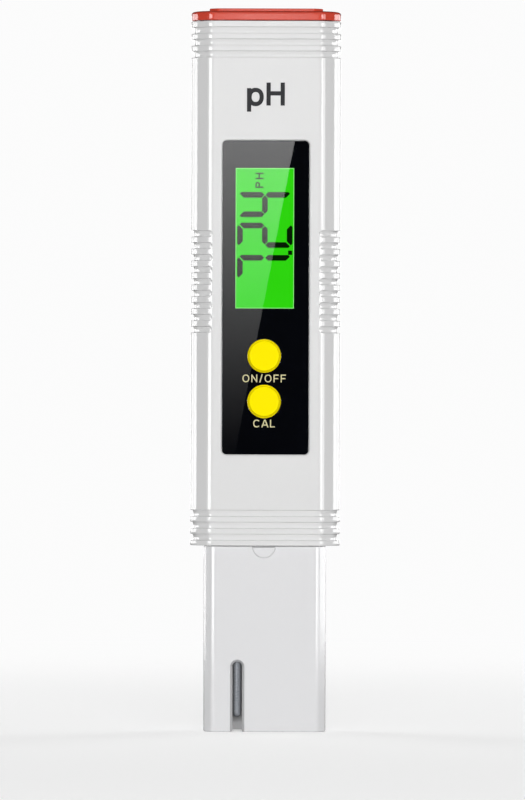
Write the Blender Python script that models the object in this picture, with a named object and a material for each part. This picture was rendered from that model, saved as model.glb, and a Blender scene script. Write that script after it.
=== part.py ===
"""Pocket pH meter with a pull-off battery cap and two push buttons.

The meter stands on its probe end: +Z runs up its length, the display faces -Y and +X is
to the right of someone reading it. The origin is at the middle of the probe end.
All dimensions below are in millimetres and are turned into metres by scale_points.
"""

import math

import bmesh
import bpy
from mathutils import Vector

MM = 0.001

# Overall size
BODY_WIDTH = 31.3
BODY_DEPTH = 17.0
PROBE_LENGTH = 38.9
BODY_TOP = 148.4
OVERALL_LENGTH = 151.1

# Housing section and walls
SIDE_CHAMFER_X = 4.15
SIDE_CHAMFER_Y = 3.6
WALL = 1.7
SEAM_GAP = 0.2
FLOOR_THICKNESS = 2.0

# Ribbed collars: grooves that run all the way round
GROOVE_DEPTH = 0.7
GROOVE_HEIGHT = 1.3
RIB_HEIGHT = 1.2
GROOVES_PER_COLLAR = 3
LOWER_RIB_END = 1.1
UPPER_RIB_END = 1.3

# Side grips
GRIP_CENTRE_Z = 94.0
GRIP_COUNT = 9
GRIP_PITCH = 2.5
GRIP_HEIGHT = 1.25
GRIP_DEPTH = 0.7
GRIP_INNER_X = 11.2

# Front panel, its window and its buttons
PANEL_WIDTH = 18.35
PANEL_HEIGHT = 65.7
PANEL_CENTRE_Z = 90.65
PANEL_CORNER = 1.1
POCKET_DEPTH = 1.2
PANEL_FIT = 0.12
LENS_BACK = 7.75
LENS_FRONT = 8.3
MASK_BACK = 7.42
MASK_FRONT = 7.6
WINDOW_X = -0.2
WINDOW_Z = 103.05
WINDOW_WIDTH = 12.2
WINDOW_HEIGHT = 29.3
BUTTON_X = -0.25
BUTTON_RADIUS = 3.3
BUTTON_HOLE_GAP = 0.25
BUTTON_FACE = 8.42
BUTTON_TRAVEL = 0.5
POWER_BUTTON_Z = 78.5
CAL_BUTTON_Z = 69.0

# Board and what it carries
BOARD_WIDTH = 18.4
BOARD_BOTTOM = 55.6
BOARD_TOP = 126.2
BOARD_FRONT = 2.0
BOARD_BACK = 1.0
BOARD_SCREW_X = 7.2
BOARD_SCREW_ROWS = (59.6, 124.2)
SWITCH_SIZE = 6.0
SHELL_SCREW_ROWS = (52.0, 124.7)

# Battery bay
HOLDER_BOTTOM = 127.9
HOLDER_WIDTH = 26.9
HOLDER_DEPTH = 13.4
WELL_X = 6.25
WELL_RADIUS = 5.95
CELL_RADIUS = 5.8
CELL_HEIGHT = 5.4
CELL_GAP = 0.12
CELL_BOTTOM = 131.1
SOCKET_BOTTOM = 142.1
PLUG_BOTTOM = 142.6
PLUG_WIDTH = 24.3
PLUG_DEPTH = 11.4
PLUG_CORNER = 3.2
SEAL_Z = 145.2
SEAL_RADIUS = 0.4

# Battery cap
CAP_GAP = 0.15
CAP_WALL_TOP = 149.85
CAP_SHOULDER = 150.5
CAP_PLATEAU_WIDTH = 23.7
CAP_PLATEAU_DEPTH = 11.6

# Probe section
PROBE_WIDTH = 25.55
PROBE_DEPTH = 13.2
PROBE_CHAMFER = 1.75
PROBE_WALL = 1.5
CHAMBER_TOP = 27.0
NECK_WIDTH = 22.0
NECK_DEPTH = 10.4
NECK_CHAMFER = 2.2
NECK_FIT = 0.3
GASKET_LOW = 41.1
GASKET_HIGH = 41.9
FLANGE_LOW = 42.1
FLANGE_HIGH = 44.0
KEY_X = -0.2
KEY_RADIUS = 2.5
KEY_RISE = 0.5
SLOT_X = -5.7
SLOT_WIDTH = 2.0
SLOT_TOP = 14.6
SLOT_BEVEL = 0.5
SLOT_BEVEL_DEPTH = 0.9
STEM_X = 3.2
STEM_RADIUS = 3.0
STEM_BORE = 2.3
STEM_TOP = 46.5
BULB_RADIUS = 3.4
BULB_CENTRE_Z = 5.4
BULB_WALL = 0.4
BUSHING_RADIUS = 4.2
SENSOR_X = -5.7
SENSOR_Y = -3.7
SENSOR_RADIUS = 0.85
JUNCTION_X = 9.0
JUNCTION_RADIUS = 1.1

# Local +Z of a front-facing piece points out of the display side, of a rear-facing one out of the back
FRONT_FACING = (math.pi / 2, 0.0, 0.0)
REAR_FACING = (-math.pi / 2, 0.0, 0.0)
UPRIGHT = (0.0, 0.0, 0.0)


# ---------------------------------------------------------------- materials

def material(name, colour, roughness, metallic=0.0, transmission=0.0):
    made = bpy.data.materials.new(name)
    made.use_nodes = True
    made.diffuse_color = (*colour, 1.0)
    shader = made.node_tree.nodes["Principled BSDF"]
    shader.inputs["Base Color"].default_value = (*colour, 1.0)
    shader.inputs["Roughness"].default_value = roughness
    shader.inputs["Metallic"].default_value = metallic
    shader.inputs["Transmission Weight"].default_value = transmission
    return made


# ---------------------------------------------------------------- outlines and meshes

def circle(radius, sides=24):
    step = 2 * math.pi / sides
    return [(radius * math.cos(i * step), radius * math.sin(i * step)) for i in range(sides)]


def rectangle(width, height):
    x = width / 2
    y = height / 2
    return [(-x, -y), (x, -y), (x, y), (-x, y)]


def rounded_rectangle(width, height, radius, steps=4):
    points = []
    corners = ((1, 1, 0), (-1, 1, 1), (-1, -1, 2), (1, -1, 3))
    for side_x, side_y, quarter in corners:
        for i in range(steps + 1):
            angle = (quarter + i / steps) * math.pi / 2
            x = side_x * (width / 2 - radius) + radius * math.cos(angle)
            y = side_y * (height / 2 - radius) + radius * math.sin(angle)
            points.append((x, y))
    return points


def chamfered_rectangle(width, height, chamfer_x, chamfer_y):
    x = width / 2
    y = height / 2
    return [(x - chamfer_x, -y), (x, -y + chamfer_y), (x, y - chamfer_y), (x - chamfer_x, y),
            (chamfer_x - x, y), (-x, y - chamfer_y), (-x, -y + chamfer_y), (chamfer_x - x, -y)]


def inset(points, distance):
    """Move every edge of a convex anticlockwise outline inwards by the same distance."""
    moved = []
    count = len(points)
    for i in range(count):
        before = Vector(points[i - 1])
        here = Vector(points[i])
        after = Vector(points[(i + 1) % count])
        edge_in = (here - before).normalized()
        edge_out = (after - here).normalized()
        normal_in = Vector((-edge_in.y, edge_in.x))
        normal_out = Vector((-edge_out.y, edge_out.x))
        bisector = (normal_in + normal_out).normalized()
        moved.append(tuple(here + bisector * distance / bisector.dot(normal_in)))
    return moved


def scale_points(points):
    return [Vector(point) * MM for point in points]


def finish_object(name, mesh_builder, finish, location, rotation, smooth_angle):
    """Close a bmesh into a named object; location is in millimetres."""
    bmesh.ops.recalc_face_normals(mesh_builder, faces=mesh_builder.faces)
    mesh = bpy.data.meshes.new(name)
    mesh_builder.to_mesh(mesh)
    mesh_builder.free()
    if finish is not None:
        mesh.materials.append(finish)
    if smooth_angle is not None:
        mesh.shade_smooth()
        mesh.set_sharp_from_angle(angle=math.radians(smooth_angle))
    piece = bpy.data.objects.new(name, mesh)
    bpy.context.scene.collection.objects.link(piece)
    piece.location = Vector(location) * MM
    piece.rotation_euler = rotation
    return piece


def loft(name, rings, finish=None, location=(0, 0, 0), rotation=UPRIGHT, smooth_angle=None):
    """Skin a stack of equal-length rings, each (outline, height), and cap both ends."""
    builder = bmesh.new()
    levels = []
    for outline, height in rings:
        points = scale_points([(x, y, height) for x, y in outline])
        levels.append([builder.verts.new(point) for point in points])
    for lower, upper in zip(levels, levels[1:]):
        for i in range(len(lower)):
            j = (i + 1) % len(lower)
            builder.faces.new((lower[i], lower[j], upper[j], upper[i]))
    builder.faces.new(list(reversed(levels[0])))
    builder.faces.new(levels[-1])
    return finish_object(name, builder, finish, location, rotation, smooth_angle)


def prism(name, outline, low, high, finish=None, location=(0, 0, 0), rotation=UPRIGHT,
          smooth_angle=None):
    return loft(name, [(outline, low), (outline, high)], finish, location, rotation, smooth_angle)


def turned(name, profile, finish=None, location=(0, 0, 0), rotation=UPRIGHT, sides=24):
    """Turn a (radius, height) profile about local Z; a profile off the axis closes on itself."""
    builder = bmesh.new()
    rings = []
    for radius, height in profile:
        if radius == 0:
            rings.append([builder.verts.new(Vector((0, 0, height)) * MM)])
        else:
            points = [(x, y, height) for x, y in circle(radius, sides)]
            rings.append([builder.verts.new(point) for point in scale_points(points)])
    pairs = list(zip(rings, rings[1:]))
    if len(rings[0]) > 1:
        pairs.append((rings[-1], rings[0]))
    for first, second in pairs:
        for i in range(sides):
            j = (i + 1) % sides
            corners = [first[i % len(first)], first[j % len(first)],
                       second[j % len(second)], second[i % len(second)]]
            builder.faces.new(list(dict.fromkeys(corners)))
    return finish_object(name, builder, finish, location, rotation, 40)


def tube(name, points, radius, finish, resolution=1):
    """A round wire along a list of points in millimetres."""
    curve = bpy.data.curves.new(name, "CURVE")
    curve.dimensions = "3D"
    curve.bevel_depth = radius * MM
    curve.bevel_resolution = resolution
    curve.use_fill_caps = True
    spline = curve.splines.new("POLY")
    spline.points.add(len(points) - 1)
    for target, point in zip(spline.points, scale_points(points)):
        target.co = (*point, 1.0)
    curve.materials.append(finish)
    piece = bpy.data.objects.new(name, curve)
    bpy.context.scene.collection.objects.link(piece)
    return piece


def smooth_path(knots, samples=4):
    """Points of a Catmull-Rom curve through the knots."""
    padded = [knots[0], *knots, knots[-1]]
    points = []
    for a, b, c, d in zip(padded, padded[1:], padded[2:], padded[3:]):
        for i in range(samples):
            t = i / samples
            points.append(tuple(
                0.5 * (2 * q + (r - p) * t + (2 * p - 5 * q + 4 * r - s) * t ** 2
                       + (3 * q - p - 3 * r + s) * t ** 3)
                for p, q, r, s in zip(a, b, c, d)))
    points.append(tuple(knots[-1]))
    return points


def combine(target, tool, operation):
    """Hide a helper solid and use it to cut or extend the target."""
    tool.hide_render = True
    tool.display_type = "WIRE"
    modifier = target.modifiers.new(tool.name, "BOOLEAN")
    modifier.operation = operation
    modifier.solver = "EXACT"
    modifier.object = tool


def cut(target, tool):
    combine(target, tool, "DIFFERENCE")


def add(target, tool):
    combine(target, tool, "UNION")


# ---------------------------------------------------------------- housing

def body_outline():
    return chamfered_rectangle(BODY_WIDTH, BODY_DEPTH, SIDE_CHAMFER_X, SIDE_CHAMFER_Y)


def collar_levels(end, direction, rib_end):
    """(height, inset) steps of a collar that starts at a housing end and runs along direction."""
    levels = []
    height = end + direction * rib_end
    for _ in range(GROOVES_PER_COLLAR):
        foot = height + direction * GROOVE_HEIGHT
        levels += [(height, 0), (height, GROOVE_DEPTH), (foot, GROOVE_DEPTH), (foot, 0)]
        height = foot + direction * RIB_HEIGHT
    return levels


def housing_solid(name, finish):
    """The full ribbed outside of the housing, before it is split and hollowed."""
    lower = collar_levels(PROBE_LENGTH, 1, LOWER_RIB_END)
    upper = reversed(collar_levels(BODY_TOP, -1, UPPER_RIB_END))
    levels = [(PROBE_LENGTH, 0), *lower, *upper, (BODY_TOP, 0)]
    rings = [(inset(body_outline(), depth), height) for height, depth in levels]
    return loft(name, rings, finish)


def hollow_housing(shell):
    """Cut the cavity, the probe opening in the floor and the side grips."""
    name = shell.name
    cavity = prism(f"{name}_cavity", inset(body_outline(), WALL),
                   PROBE_LENGTH + FLOOR_THICKNESS, BODY_TOP + 1)
    cut(shell, cavity)
    neck_hole = inset(neck_outline(), -NECK_FIT)
    cut(shell, prism(f"{name}_neck_hole", neck_hole, PROBE_LENGTH - 1,
                     PROBE_LENGTH + FLOOR_THICKNESS + 1))


def grip_groove(name, side, row):
    """A rounded-end bar that cuts one grip groove across a side and both its chamfers."""
    height = GRIP_CENTRE_Z + (row - (GRIP_COUNT - 1) / 2) * GRIP_PITCH
    half = GRIP_HEIGHT / 2
    inner = inset(body_outline(), GRIP_DEPTH)
    # the groove follows the side flat and the chamfers at a constant depth
    side_points = [(x, y) for x, y in inner if x > 0]
    clear_x = BODY_WIDTH / 2 + 2
    clear_y = BODY_DEPTH / 2 + 1
    outline = [(GRIP_INNER_X, -clear_y), (clear_x, -clear_y), (clear_x, clear_y),
               (GRIP_INNER_X, clear_y), *reversed(side_points)]
    outline = [(side * x, y) for x, y in outline]
    if side < 0:
        outline.reverse()
    return prism(name, outline, height - half, height + half)


def cut_grips(shell):
    for side, label in ((1, "right"), (-1, "left")):
        for row in range(GRIP_COUNT):
            cut(shell, grip_groove(f"{shell.name}_grip_{label}_{row + 1}", side, row))


def front_box(name, width, height, centre_x, centre_z, back, front, corner=0.0):
    """A front-facing block; back and front are distances in front of the middle plane."""
    outline = rectangle(width, height)
    if corner:
        outline = rounded_rectangle(width, height, corner)
    return prism(name, outline, back, front, location=(centre_x, 0, centre_z),
                 rotation=FRONT_FACING)


def front_shell(finish):
    shell = housing_solid("front_shell", finish)
    hollow_housing(shell)
    half_depth = BODY_DEPTH / 2
    inner_face = half_depth - WALL
    pocket_floor = half_depth - POCKET_DEPTH

    for row, z in enumerate(BOARD_SCREW_ROWS):
        for side in (-1, 1):
            add(shell, turned(f"board_boss_{row}_{side}", post(1.8, BOARD_FRONT + 0.2, inner_face + 0.3),
                              location=(side * BOARD_SCREW_X, 0, z), rotation=FRONT_FACING, sides=16))
            cut(shell, turned(f"board_boss_hole_{row}_{side}", post(0.75, BOARD_FRONT - 1, 5.8),
                              location=(side * BOARD_SCREW_X, 0, z), rotation=FRONT_FACING, sides=12))
    for row, z in enumerate(SHELL_SCREW_ROWS):
        add(shell, turned(f"shell_boss_front_{row}", post(2.3, 0.5, inner_face + 0.3),
                          location=(0, 0, z), rotation=FRONT_FACING, sides=20))
        cut(shell, turned(f"shell_boss_front_hole_{row}", post(0.95, -1, 6.0),
                          location=(0, 0, z), rotation=FRONT_FACING, sides=12))

    cut(shell, front_box("panel_pocket", PANEL_WIDTH, PANEL_HEIGHT, 0, PANEL_CENTRE_Z,
                         pocket_floor, half_depth + 1, PANEL_CORNER))
    cut(shell, front_box("window_hole", WINDOW_WIDTH + 1.6, WINDOW_HEIGHT + 1.6, WINDOW_X, WINDOW_Z,
                         inner_face - 1, half_depth + 1))
    for z in (POWER_BUTTON_Z, CAL_BUTTON_Z):
        hole = circle(BUTTON_RADIUS + BUTTON_HOLE_GAP)
        cut(shell, prism(f"button_hole_{z}", hole, inner_face - 1, half_depth + 1,
                         location=(BUTTON_X, 0, z), rotation=FRONT_FACING))
    cut_grips(shell)
    rear_half = prism("front_shell_split", rectangle(2 * BODY_WIDTH, 40), 0, 200,
                      location=(0, 20 - SEAM_GAP / 2, 0))
    cut(shell, rear_half)
    return shell


def rear_shell(finish):
    shell = housing_solid("rear_shell", finish)
    hollow_housing(shell)
    half_depth = BODY_DEPTH / 2
    inner_face = half_depth - WALL
    for row, z in enumerate(SHELL_SCREW_ROWS):
        add(shell, turned(f"shell_boss_rear_{row}", post(2.8, 0.3, inner_face + 0.3),
                          location=(0, 0, z), rotation=REAR_FACING, sides=20))
        cut(shell, turned(f"shell_boss_rear_hole_{row}", post(1.1, -1, half_depth + 1),
                          location=(0, 0, z), rotation=REAR_FACING, sides=16))
        cut(shell, turned(f"shell_screw_recess_{row}", post(2.1, 6.2, half_depth + 1),
                          location=(0, 0, z), rotation=REAR_FACING, sides=20))
    cut_grips(shell)
    front_half = prism("rear_shell_split", rectangle(2 * BODY_WIDTH, 40), 0, 200,
                       location=(0, SEAM_GAP / 2 - 20, 0))
    cut(shell, front_half)
    return shell


# ---------------------------------------------------------------- front panel and display

def post(radius, low, high):
    """Profile of a plain round solid from low to high."""
    return [(0, low), (radius, low), (radius, high), (0, high)]


def ring(outer, inner, low, high):
    """Profile of a plain round sleeve from low to high."""
    return [(outer, low), (outer, high), (inner, high), (inner, low)]


def panel_sheet(name, back, front, finish, has_window):
    sheet = prism(name, rounded_rectangle(PANEL_WIDTH - 2 * PANEL_FIT, PANEL_HEIGHT - 2 * PANEL_FIT,
                                          PANEL_CORNER - PANEL_FIT),
                  back, front, finish, location=(0, 0, PANEL_CENTRE_Z), rotation=FRONT_FACING)
    if has_window:
        cut(sheet, front_box(f"{name}_window", WINDOW_WIDTH, WINDOW_HEIGHT, WINDOW_X, WINDOW_Z,
                             back - 1, front + 1))
    for z in (POWER_BUTTON_Z, CAL_BUTTON_Z):
        hole = circle(BUTTON_RADIUS + BUTTON_HOLE_GAP)
        cut(sheet, prism(f"{name}_hole_{z}", hole, back - 1, front + 1,
                         location=(BUTTON_X, 0, z), rotation=FRONT_FACING))
    return sheet


def display_stack(glass, frame_plastic, light_guide, rubber):
    glass_width = 16.6
    glass_height = 35.6
    prism("lcd_glass", rectangle(glass_width, glass_height), 4.9, 6.5, glass,
          location=(WINDOW_X, 0, WINDOW_Z), rotation=FRONT_FACING)
    prism("lcd_backlight", rectangle(13.4, 33.0), 2.6, 4.6, light_guide,
          location=(WINDOW_X - 0.8, 0, WINDOW_Z), rotation=FRONT_FACING)
    frame = prism("lcd_frame", rectangle(glass_width + 2.4, glass_height + 2.4), 2.3, 6.5,
                  frame_plastic, location=(WINDOW_X, 0, WINDOW_Z), rotation=FRONT_FACING)
    cut(frame, front_box("lcd_frame_hole", glass_width + 0.4, glass_height + 0.4, WINDOW_X, WINDOW_Z,
                         1, 8))
    prism("zebra_strip", rectangle(1.6, 30.0), 2.2, 4.75, rubber,
          location=(WINDOW_X + 7.2, 0, WINDOW_Z), rotation=FRONT_FACING)


# ---------------------------------------------------------------- buttons and switches

def push_button(label, z, yellow, plunger_plastic, switch_plastic):
    """A captive button, the plunger it presses and the switch body on the board."""
    pivot = bpy.data.objects.new(f"{label}_press_axis", None)
    pivot.location = Vector((BUTTON_X, 0, z)) * MM
    bpy.context.scene.collection.objects.link(pivot)

    inner_face = BODY_DEPTH / 2 - WALL
    flange_front = inner_face - 0.15
    flange_back = flange_front - 0.6
    stem_end = 5.3
    round_edge = 0.3
    rim = [(BUTTON_RADIUS - round_edge * (1 - math.cos(a)), BUTTON_FACE - round_edge * (1 - math.sin(a)))
           for a in (0, math.pi / 6, math.pi / 3, math.pi / 2)]
    profile = [(0, stem_end), (1.2, stem_end), (1.2, flange_back), (4.2, flange_back),
               (4.2, flange_front), (BUTTON_RADIUS, flange_front), *rim, (0, BUTTON_FACE)]
    button = turned(f"{label}_button", profile, yellow, rotation=FRONT_FACING, sides=28)
    button.parent = pivot

    plunger = turned(f"{label}_plunger", post(1.1, 4.0, stem_end - 0.15), plunger_plastic,
                     rotation=FRONT_FACING, sides=16)
    plunger.parent = pivot

    switch = prism(f"{label}_switch", rectangle(SWITCH_SIZE, SWITCH_SIZE), BOARD_FRONT + 0.15, 4.5,
                   switch_plastic, location=(BUTTON_X, 0, z), rotation=FRONT_FACING)
    cut(switch, turned(f"{label}_switch_well", post(1.35, 3.1, 6), location=(BUTTON_X, 0, z),
                       rotation=FRONT_FACING, sides=16))


# ---------------------------------------------------------------- board

def main_board(finish):
    centre_z = (BOARD_BOTTOM + BOARD_TOP) / 2
    board = prism("main_board", rounded_rectangle(BOARD_WIDTH, BOARD_TOP - BOARD_BOTTOM, 0.8, 2),
                  BOARD_BACK, BOARD_FRONT, finish, location=(0, 0, centre_z), rotation=FRONT_FACING)
    for row, z in enumerate(BOARD_SCREW_ROWS):
        for side in (-1, 1):
            cut(board, turned(f"board_hole_{row}_{side}", post(0.85, 0, 3),
                              location=(side * BOARD_SCREW_X, 0, z), rotation=FRONT_FACING, sides=12))
    cut(board, turned("board_notch", post(3.3, 0, 3), location=(0, 0, SHELL_SCREW_ROWS[1]),
                      rotation=FRONT_FACING, sides=24))


def board_parts(black_resin, can_metal, ceramic):
    """Components on the board's back."""
    back = BOARD_BACK - 0.15
    resin = [(0, back), (3.4, back), (3.1, back - 0.5), (2.3, back - 1.0), (1.2, back - 1.25), (0, back - 1.3)]
    turned("controller_chip", resin, black_resin, location=(0, 0, 104), rotation=FRONT_FACING, sides=20)
    prism("amplifier_chip", rectangle(5.0, 4.0), back - 1.5, back, black_resin,
          location=(1.5, 0, 72), rotation=FRONT_FACING)
    prism("crystal_can", rounded_rectangle(4.6, 1.9, 0.9, 4), back - 1.6, back, can_metal,
          location=(-4.8, 0, 93), rotation=FRONT_FACING)
    turned("filter_capacitor", post(2.1, back - 4.2, back), ceramic,
           location=(4.6, 0, 87), rotation=FRONT_FACING, sides=20)


# ---------------------------------------------------------------- screws

def cross_screw(name, head_radius, head_height, shank_radius, shank_length, finish, location, rotation):
    """A pan-head screw with a cross recess; local z = 0 is under the head."""
    profile = [(0, -shank_length), (shank_radius * 0.5, -shank_length),
               (shank_radius, -shank_length + shank_radius), (shank_radius, 0), (head_radius, 0),
               (head_radius, head_height * 0.55), (head_radius * 0.8, head_height * 0.9),
               (head_radius * 0.5, head_height), (0, head_height)]
    screw = turned(name, profile, finish, location, rotation, sides=16)
    for turn, label in ((0, "a"), (math.pi / 2, "b")):
        slot_length = head_radius * 1.2
        slot_width = head_radius * 0.26
        outline = rectangle(slot_length, slot_width)
        if turn:
            outline = rectangle(slot_width, slot_length)
        cut(screw, prism(f"{name}_slot_{label}", outline, head_height * 0.4, head_height + 1,
                         location=location, rotation=rotation))


def screws(steel):
    for row, z in enumerate(BOARD_SCREW_ROWS):
        for column, side in enumerate((-1, 1)):
            number = 2 * row + column + 1
            cross_screw(f"board_screw_{number}", 1.35, 0.8, 0.6, 4.6, steel,
                        (side * BOARD_SCREW_X, -BOARD_BACK + 0.15, z), REAR_FACING)
    for label, z in zip(("lower", "upper"), SHELL_SCREW_ROWS):
        cross_screw(f"shell_screw_{label}", 1.8, 1.3, 0.8, 11.2, steel, (0, 6.35, z), REAR_FACING)


# ---------------------------------------------------------------- batteries

def battery_holder(finish):
    outline = rounded_rectangle(HOLDER_WIDTH, HOLDER_DEPTH, 4.4)
    holder = prism("battery_holder", outline, HOLDER_BOTTOM, BODY_TOP - 0.15, finish)
    for side in (-1, 1):
        cut(holder, turned(f"well_{side}", post(WELL_RADIUS, HOLDER_BOTTOM + 1.2, BODY_TOP + 1),
                           location=(side * WELL_X, 0, 0)))
        cut(holder, turned(f"lead_hole_{side}", post(0.8, HOLDER_BOTTOM - 1, HOLDER_BOTTOM + 2),
                           location=(side * WELL_X, 0, 0), sides=12))
    socket = rounded_rectangle(PLUG_WIDTH + 0.5, PLUG_DEPTH + 0.9, PLUG_CORNER + 0.2)
    cut(holder, prism("cap_socket", socket, SOCKET_BOTTOM, BODY_TOP + 1))


def battery_cells(steel):
    number = 1
    for side in (-1, 1):
        for layer in range(2):
            bottom = CELL_BOTTOM + layer * (CELL_HEIGHT + CELL_GAP)
            step = 0.9
            narrow = CELL_RADIUS - 0.7
            profile = [(0, 0), (narrow, 0), (narrow, step), (CELL_RADIUS - 0.2, step),
                       (CELL_RADIUS, step + 0.2), (CELL_RADIUS, CELL_HEIGHT - 0.2),
                       (CELL_RADIUS - 0.2, CELL_HEIGHT), (0, CELL_HEIGHT)]
            turned(f"battery_cell_{number}", profile, steel, location=(side * WELL_X, 0, bottom))
            number += 1


def battery_springs(steel):
    turns = 2.5
    per_turn = 12
    low = HOLDER_BOTTOM + 1.55
    high = CELL_BOTTOM - 0.35
    for number, side in ((1, -1), (2, 1)):
        points = []
        total = int(turns * per_turn)
        for i in range(total + 1):
            share = i / total
            radius = 4.2 - 1.6 * share
            angle = 2 * math.pi * turns * share
            points.append((side * WELL_X + radius * math.cos(angle), radius * math.sin(angle),
                           low + (high - low) * share))
        tube(f"battery_spring_{number}", points, 0.2, steel)


def battery_cap(red, rubber, contact_metal):
    """The pull-off cap with its plug, sealing ring and contact plate."""
    seat = BODY_TOP
    pull_axis = bpy.data.objects.new("battery_cap_pull_axis", None)
    pull_axis.location = Vector((0, 0, seat)) * MM
    bpy.context.scene.collection.objects.link(pull_axis)

    full = body_outline()
    low = BODY_TOP + CAP_GAP
    rings = [(full, low), (full, CAP_WALL_TOP), (inset(full, 0.18), CAP_WALL_TOP + 0.35),
             (inset(full, 0.6), CAP_SHOULDER), (inset(full, 2.0), CAP_SHOULDER + 0.02)]
    cap = loft("battery_cap", rings, red)
    plateau = chamfered_rectangle(CAP_PLATEAU_WIDTH, CAP_PLATEAU_DEPTH, 1.6, 1.6)
    add(cap, loft("cap_plateau", [(plateau, CAP_SHOULDER - 0.3), (plateau, OVERALL_LENGTH - 0.2),
                                  (inset(plateau, 0.2), OVERALL_LENGTH)]))
    plug = rounded_rectangle(PLUG_WIDTH, PLUG_DEPTH, PLUG_CORNER)
    seal_seat = inset(plug, 0.7)
    half_groove = SEAL_RADIUS + 0.15
    plug_rings = [(plug, PLUG_BOTTOM), (plug, SEAL_Z - half_groove), (seal_seat, SEAL_Z - half_groove),
                  (seal_seat, SEAL_Z + half_groove), (plug, SEAL_Z + half_groove), (plug, low + 0.4)]
    add(cap, loft("cap_plug", plug_rings))

    ring_outline = inset(plug, 0.7 - SEAL_RADIUS - 0.08)
    seal = seal_ring("cap_seal", ring_outline, SEAL_RADIUS, SEAL_Z, rubber)
    bridge = prism("cap_contact_bridge", rounded_rectangle(18.0, 4.6, 2.2, 4),
                   PLUG_BOTTOM - 0.45, PLUG_BOTTOM - 0.2, contact_metal)
    for piece in (cap, seal, bridge):
        piece.parent = pull_axis
        piece.matrix_parent_inverse = pull_axis.matrix_basis.inverted()


def seal_ring(name, outline, radius, height, finish, sides=6):
    """A round-section ring that follows a closed outline."""
    builder = bmesh.new()
    loops = []
    for i in range(sides):
        angle = 2 * math.pi * i / sides
        path = inset(outline, -radius * math.cos(angle))
        points = [(x, y, height + radius * math.sin(angle)) for x, y in path]
        loops.append([builder.verts.new(point) for point in scale_points(points)])
    for i in range(sides):
        here = loops[i]
        following = loops[(i + 1) % sides]
        for j in range(len(here)):
            k = (j + 1) % len(here)
            builder.faces.new((here[j], here[k], following[k], following[j]))
    return finish_object(name, builder, finish, (0, 0, 0), UPRIGHT, 60)


# ---------------------------------------------------------------- probe

def probe_housing(finish):
    outer = chamfered_rectangle(PROBE_WIDTH, PROBE_DEPTH, PROBE_CHAMFER, PROBE_CHAMFER)
    neck = neck_outline()
    flange = chamfered_rectangle(25.0, 12.4, 3.4, 3.0)
    collar_low = PROBE_LENGTH - 0.15
    rings = [(outer, 0), (outer, collar_low), (neck, collar_low), (neck, FLANGE_LOW),
             (flange, FLANGE_LOW), (flange, FLANGE_HIGH)]
    housing = loft("probe_housing", rings, finish)

    half_depth = PROBE_DEPTH / 2
    key = [(KEY_RADIUS * math.cos(a), KEY_RADIUS * math.sin(a))
           for a in (math.pi + math.pi * i / 16 for i in range(17))]
    add(housing, prism("key_boss", key, half_depth - 1, half_depth + KEY_RISE,
                       location=(KEY_X, 0, collar_low), rotation=FRONT_FACING))
    cut(housing, prism("chamber", inset(outer, PROBE_WALL), -1, CHAMBER_TOP))
    cut(housing, turned("stem_bore", post(STEM_RADIUS + 0.25, CHAMBER_TOP - 2, FLANGE_HIGH + 1),
                        location=(STEM_X, 0, 0)))
    cut(housing, turned("bushing_seat", post(BUSHING_RADIUS + 0.2, CHAMBER_TOP - 1, CHAMBER_TOP + 4),
                        location=(STEM_X, 0, 0)))
    cut(housing, turned("sensor_bore", post(SENSOR_RADIUS + 0.2, CHAMBER_TOP - 2, FLANGE_HIGH + 1),
                        location=(SENSOR_X, SENSOR_Y, 0), sides=16))
    cut(housing, turned("junction_bore", post(JUNCTION_RADIUS + 0.15, CHAMBER_TOP - 2, FLANGE_HIGH + 1),
                        location=(JUNCTION_X, 0, 0), sides=16))
    cut_slot(housing, "slot", SLOT_WIDTH / 2, SLOT_WIDTH / 2, half_depth - 3, half_depth + 1)
    cut_slot(housing, "slot_bevel", SLOT_WIDTH / 2, SLOT_WIDTH / 2 + 2 * SLOT_BEVEL,
             half_depth - SLOT_BEVEL_DEPTH, half_depth + SLOT_BEVEL_DEPTH)


def cut_slot(housing, name, back_half, front_half, back, front):
    """Cut an open-ended slot with a round top; it may flare towards the front."""
    def outline(half):
        top = SLOT_TOP - SLOT_WIDTH / 2
        arc = [(half * math.cos(a), top + half * math.sin(a)) for a in
               (math.pi * i / 12 for i in range(13))]
        return [*arc, (-half, -2), (half, -2)]
    cut(housing, loft(name, [(outline(back_half), back), (outline(front_half), front)],
                      location=(SLOT_X, 0, 0), rotation=FRONT_FACING))


def neck_outline():
    return chamfered_rectangle(NECK_WIDTH, NECK_DEPTH, NECK_CHAMFER, NECK_CHAMFER)


def probe_gasket(rubber):
    outer = chamfered_rectangle(25.4, 12.6, 3.4, 3.0)
    gasket = prism("probe_gasket", outer, GASKET_LOW, GASKET_HIGH, rubber)
    cut(gasket, prism("gasket_hole", inset(neck_outline(), -0.2), GASKET_LOW - 1,
                      GASKET_HIGH + 1))


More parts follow.
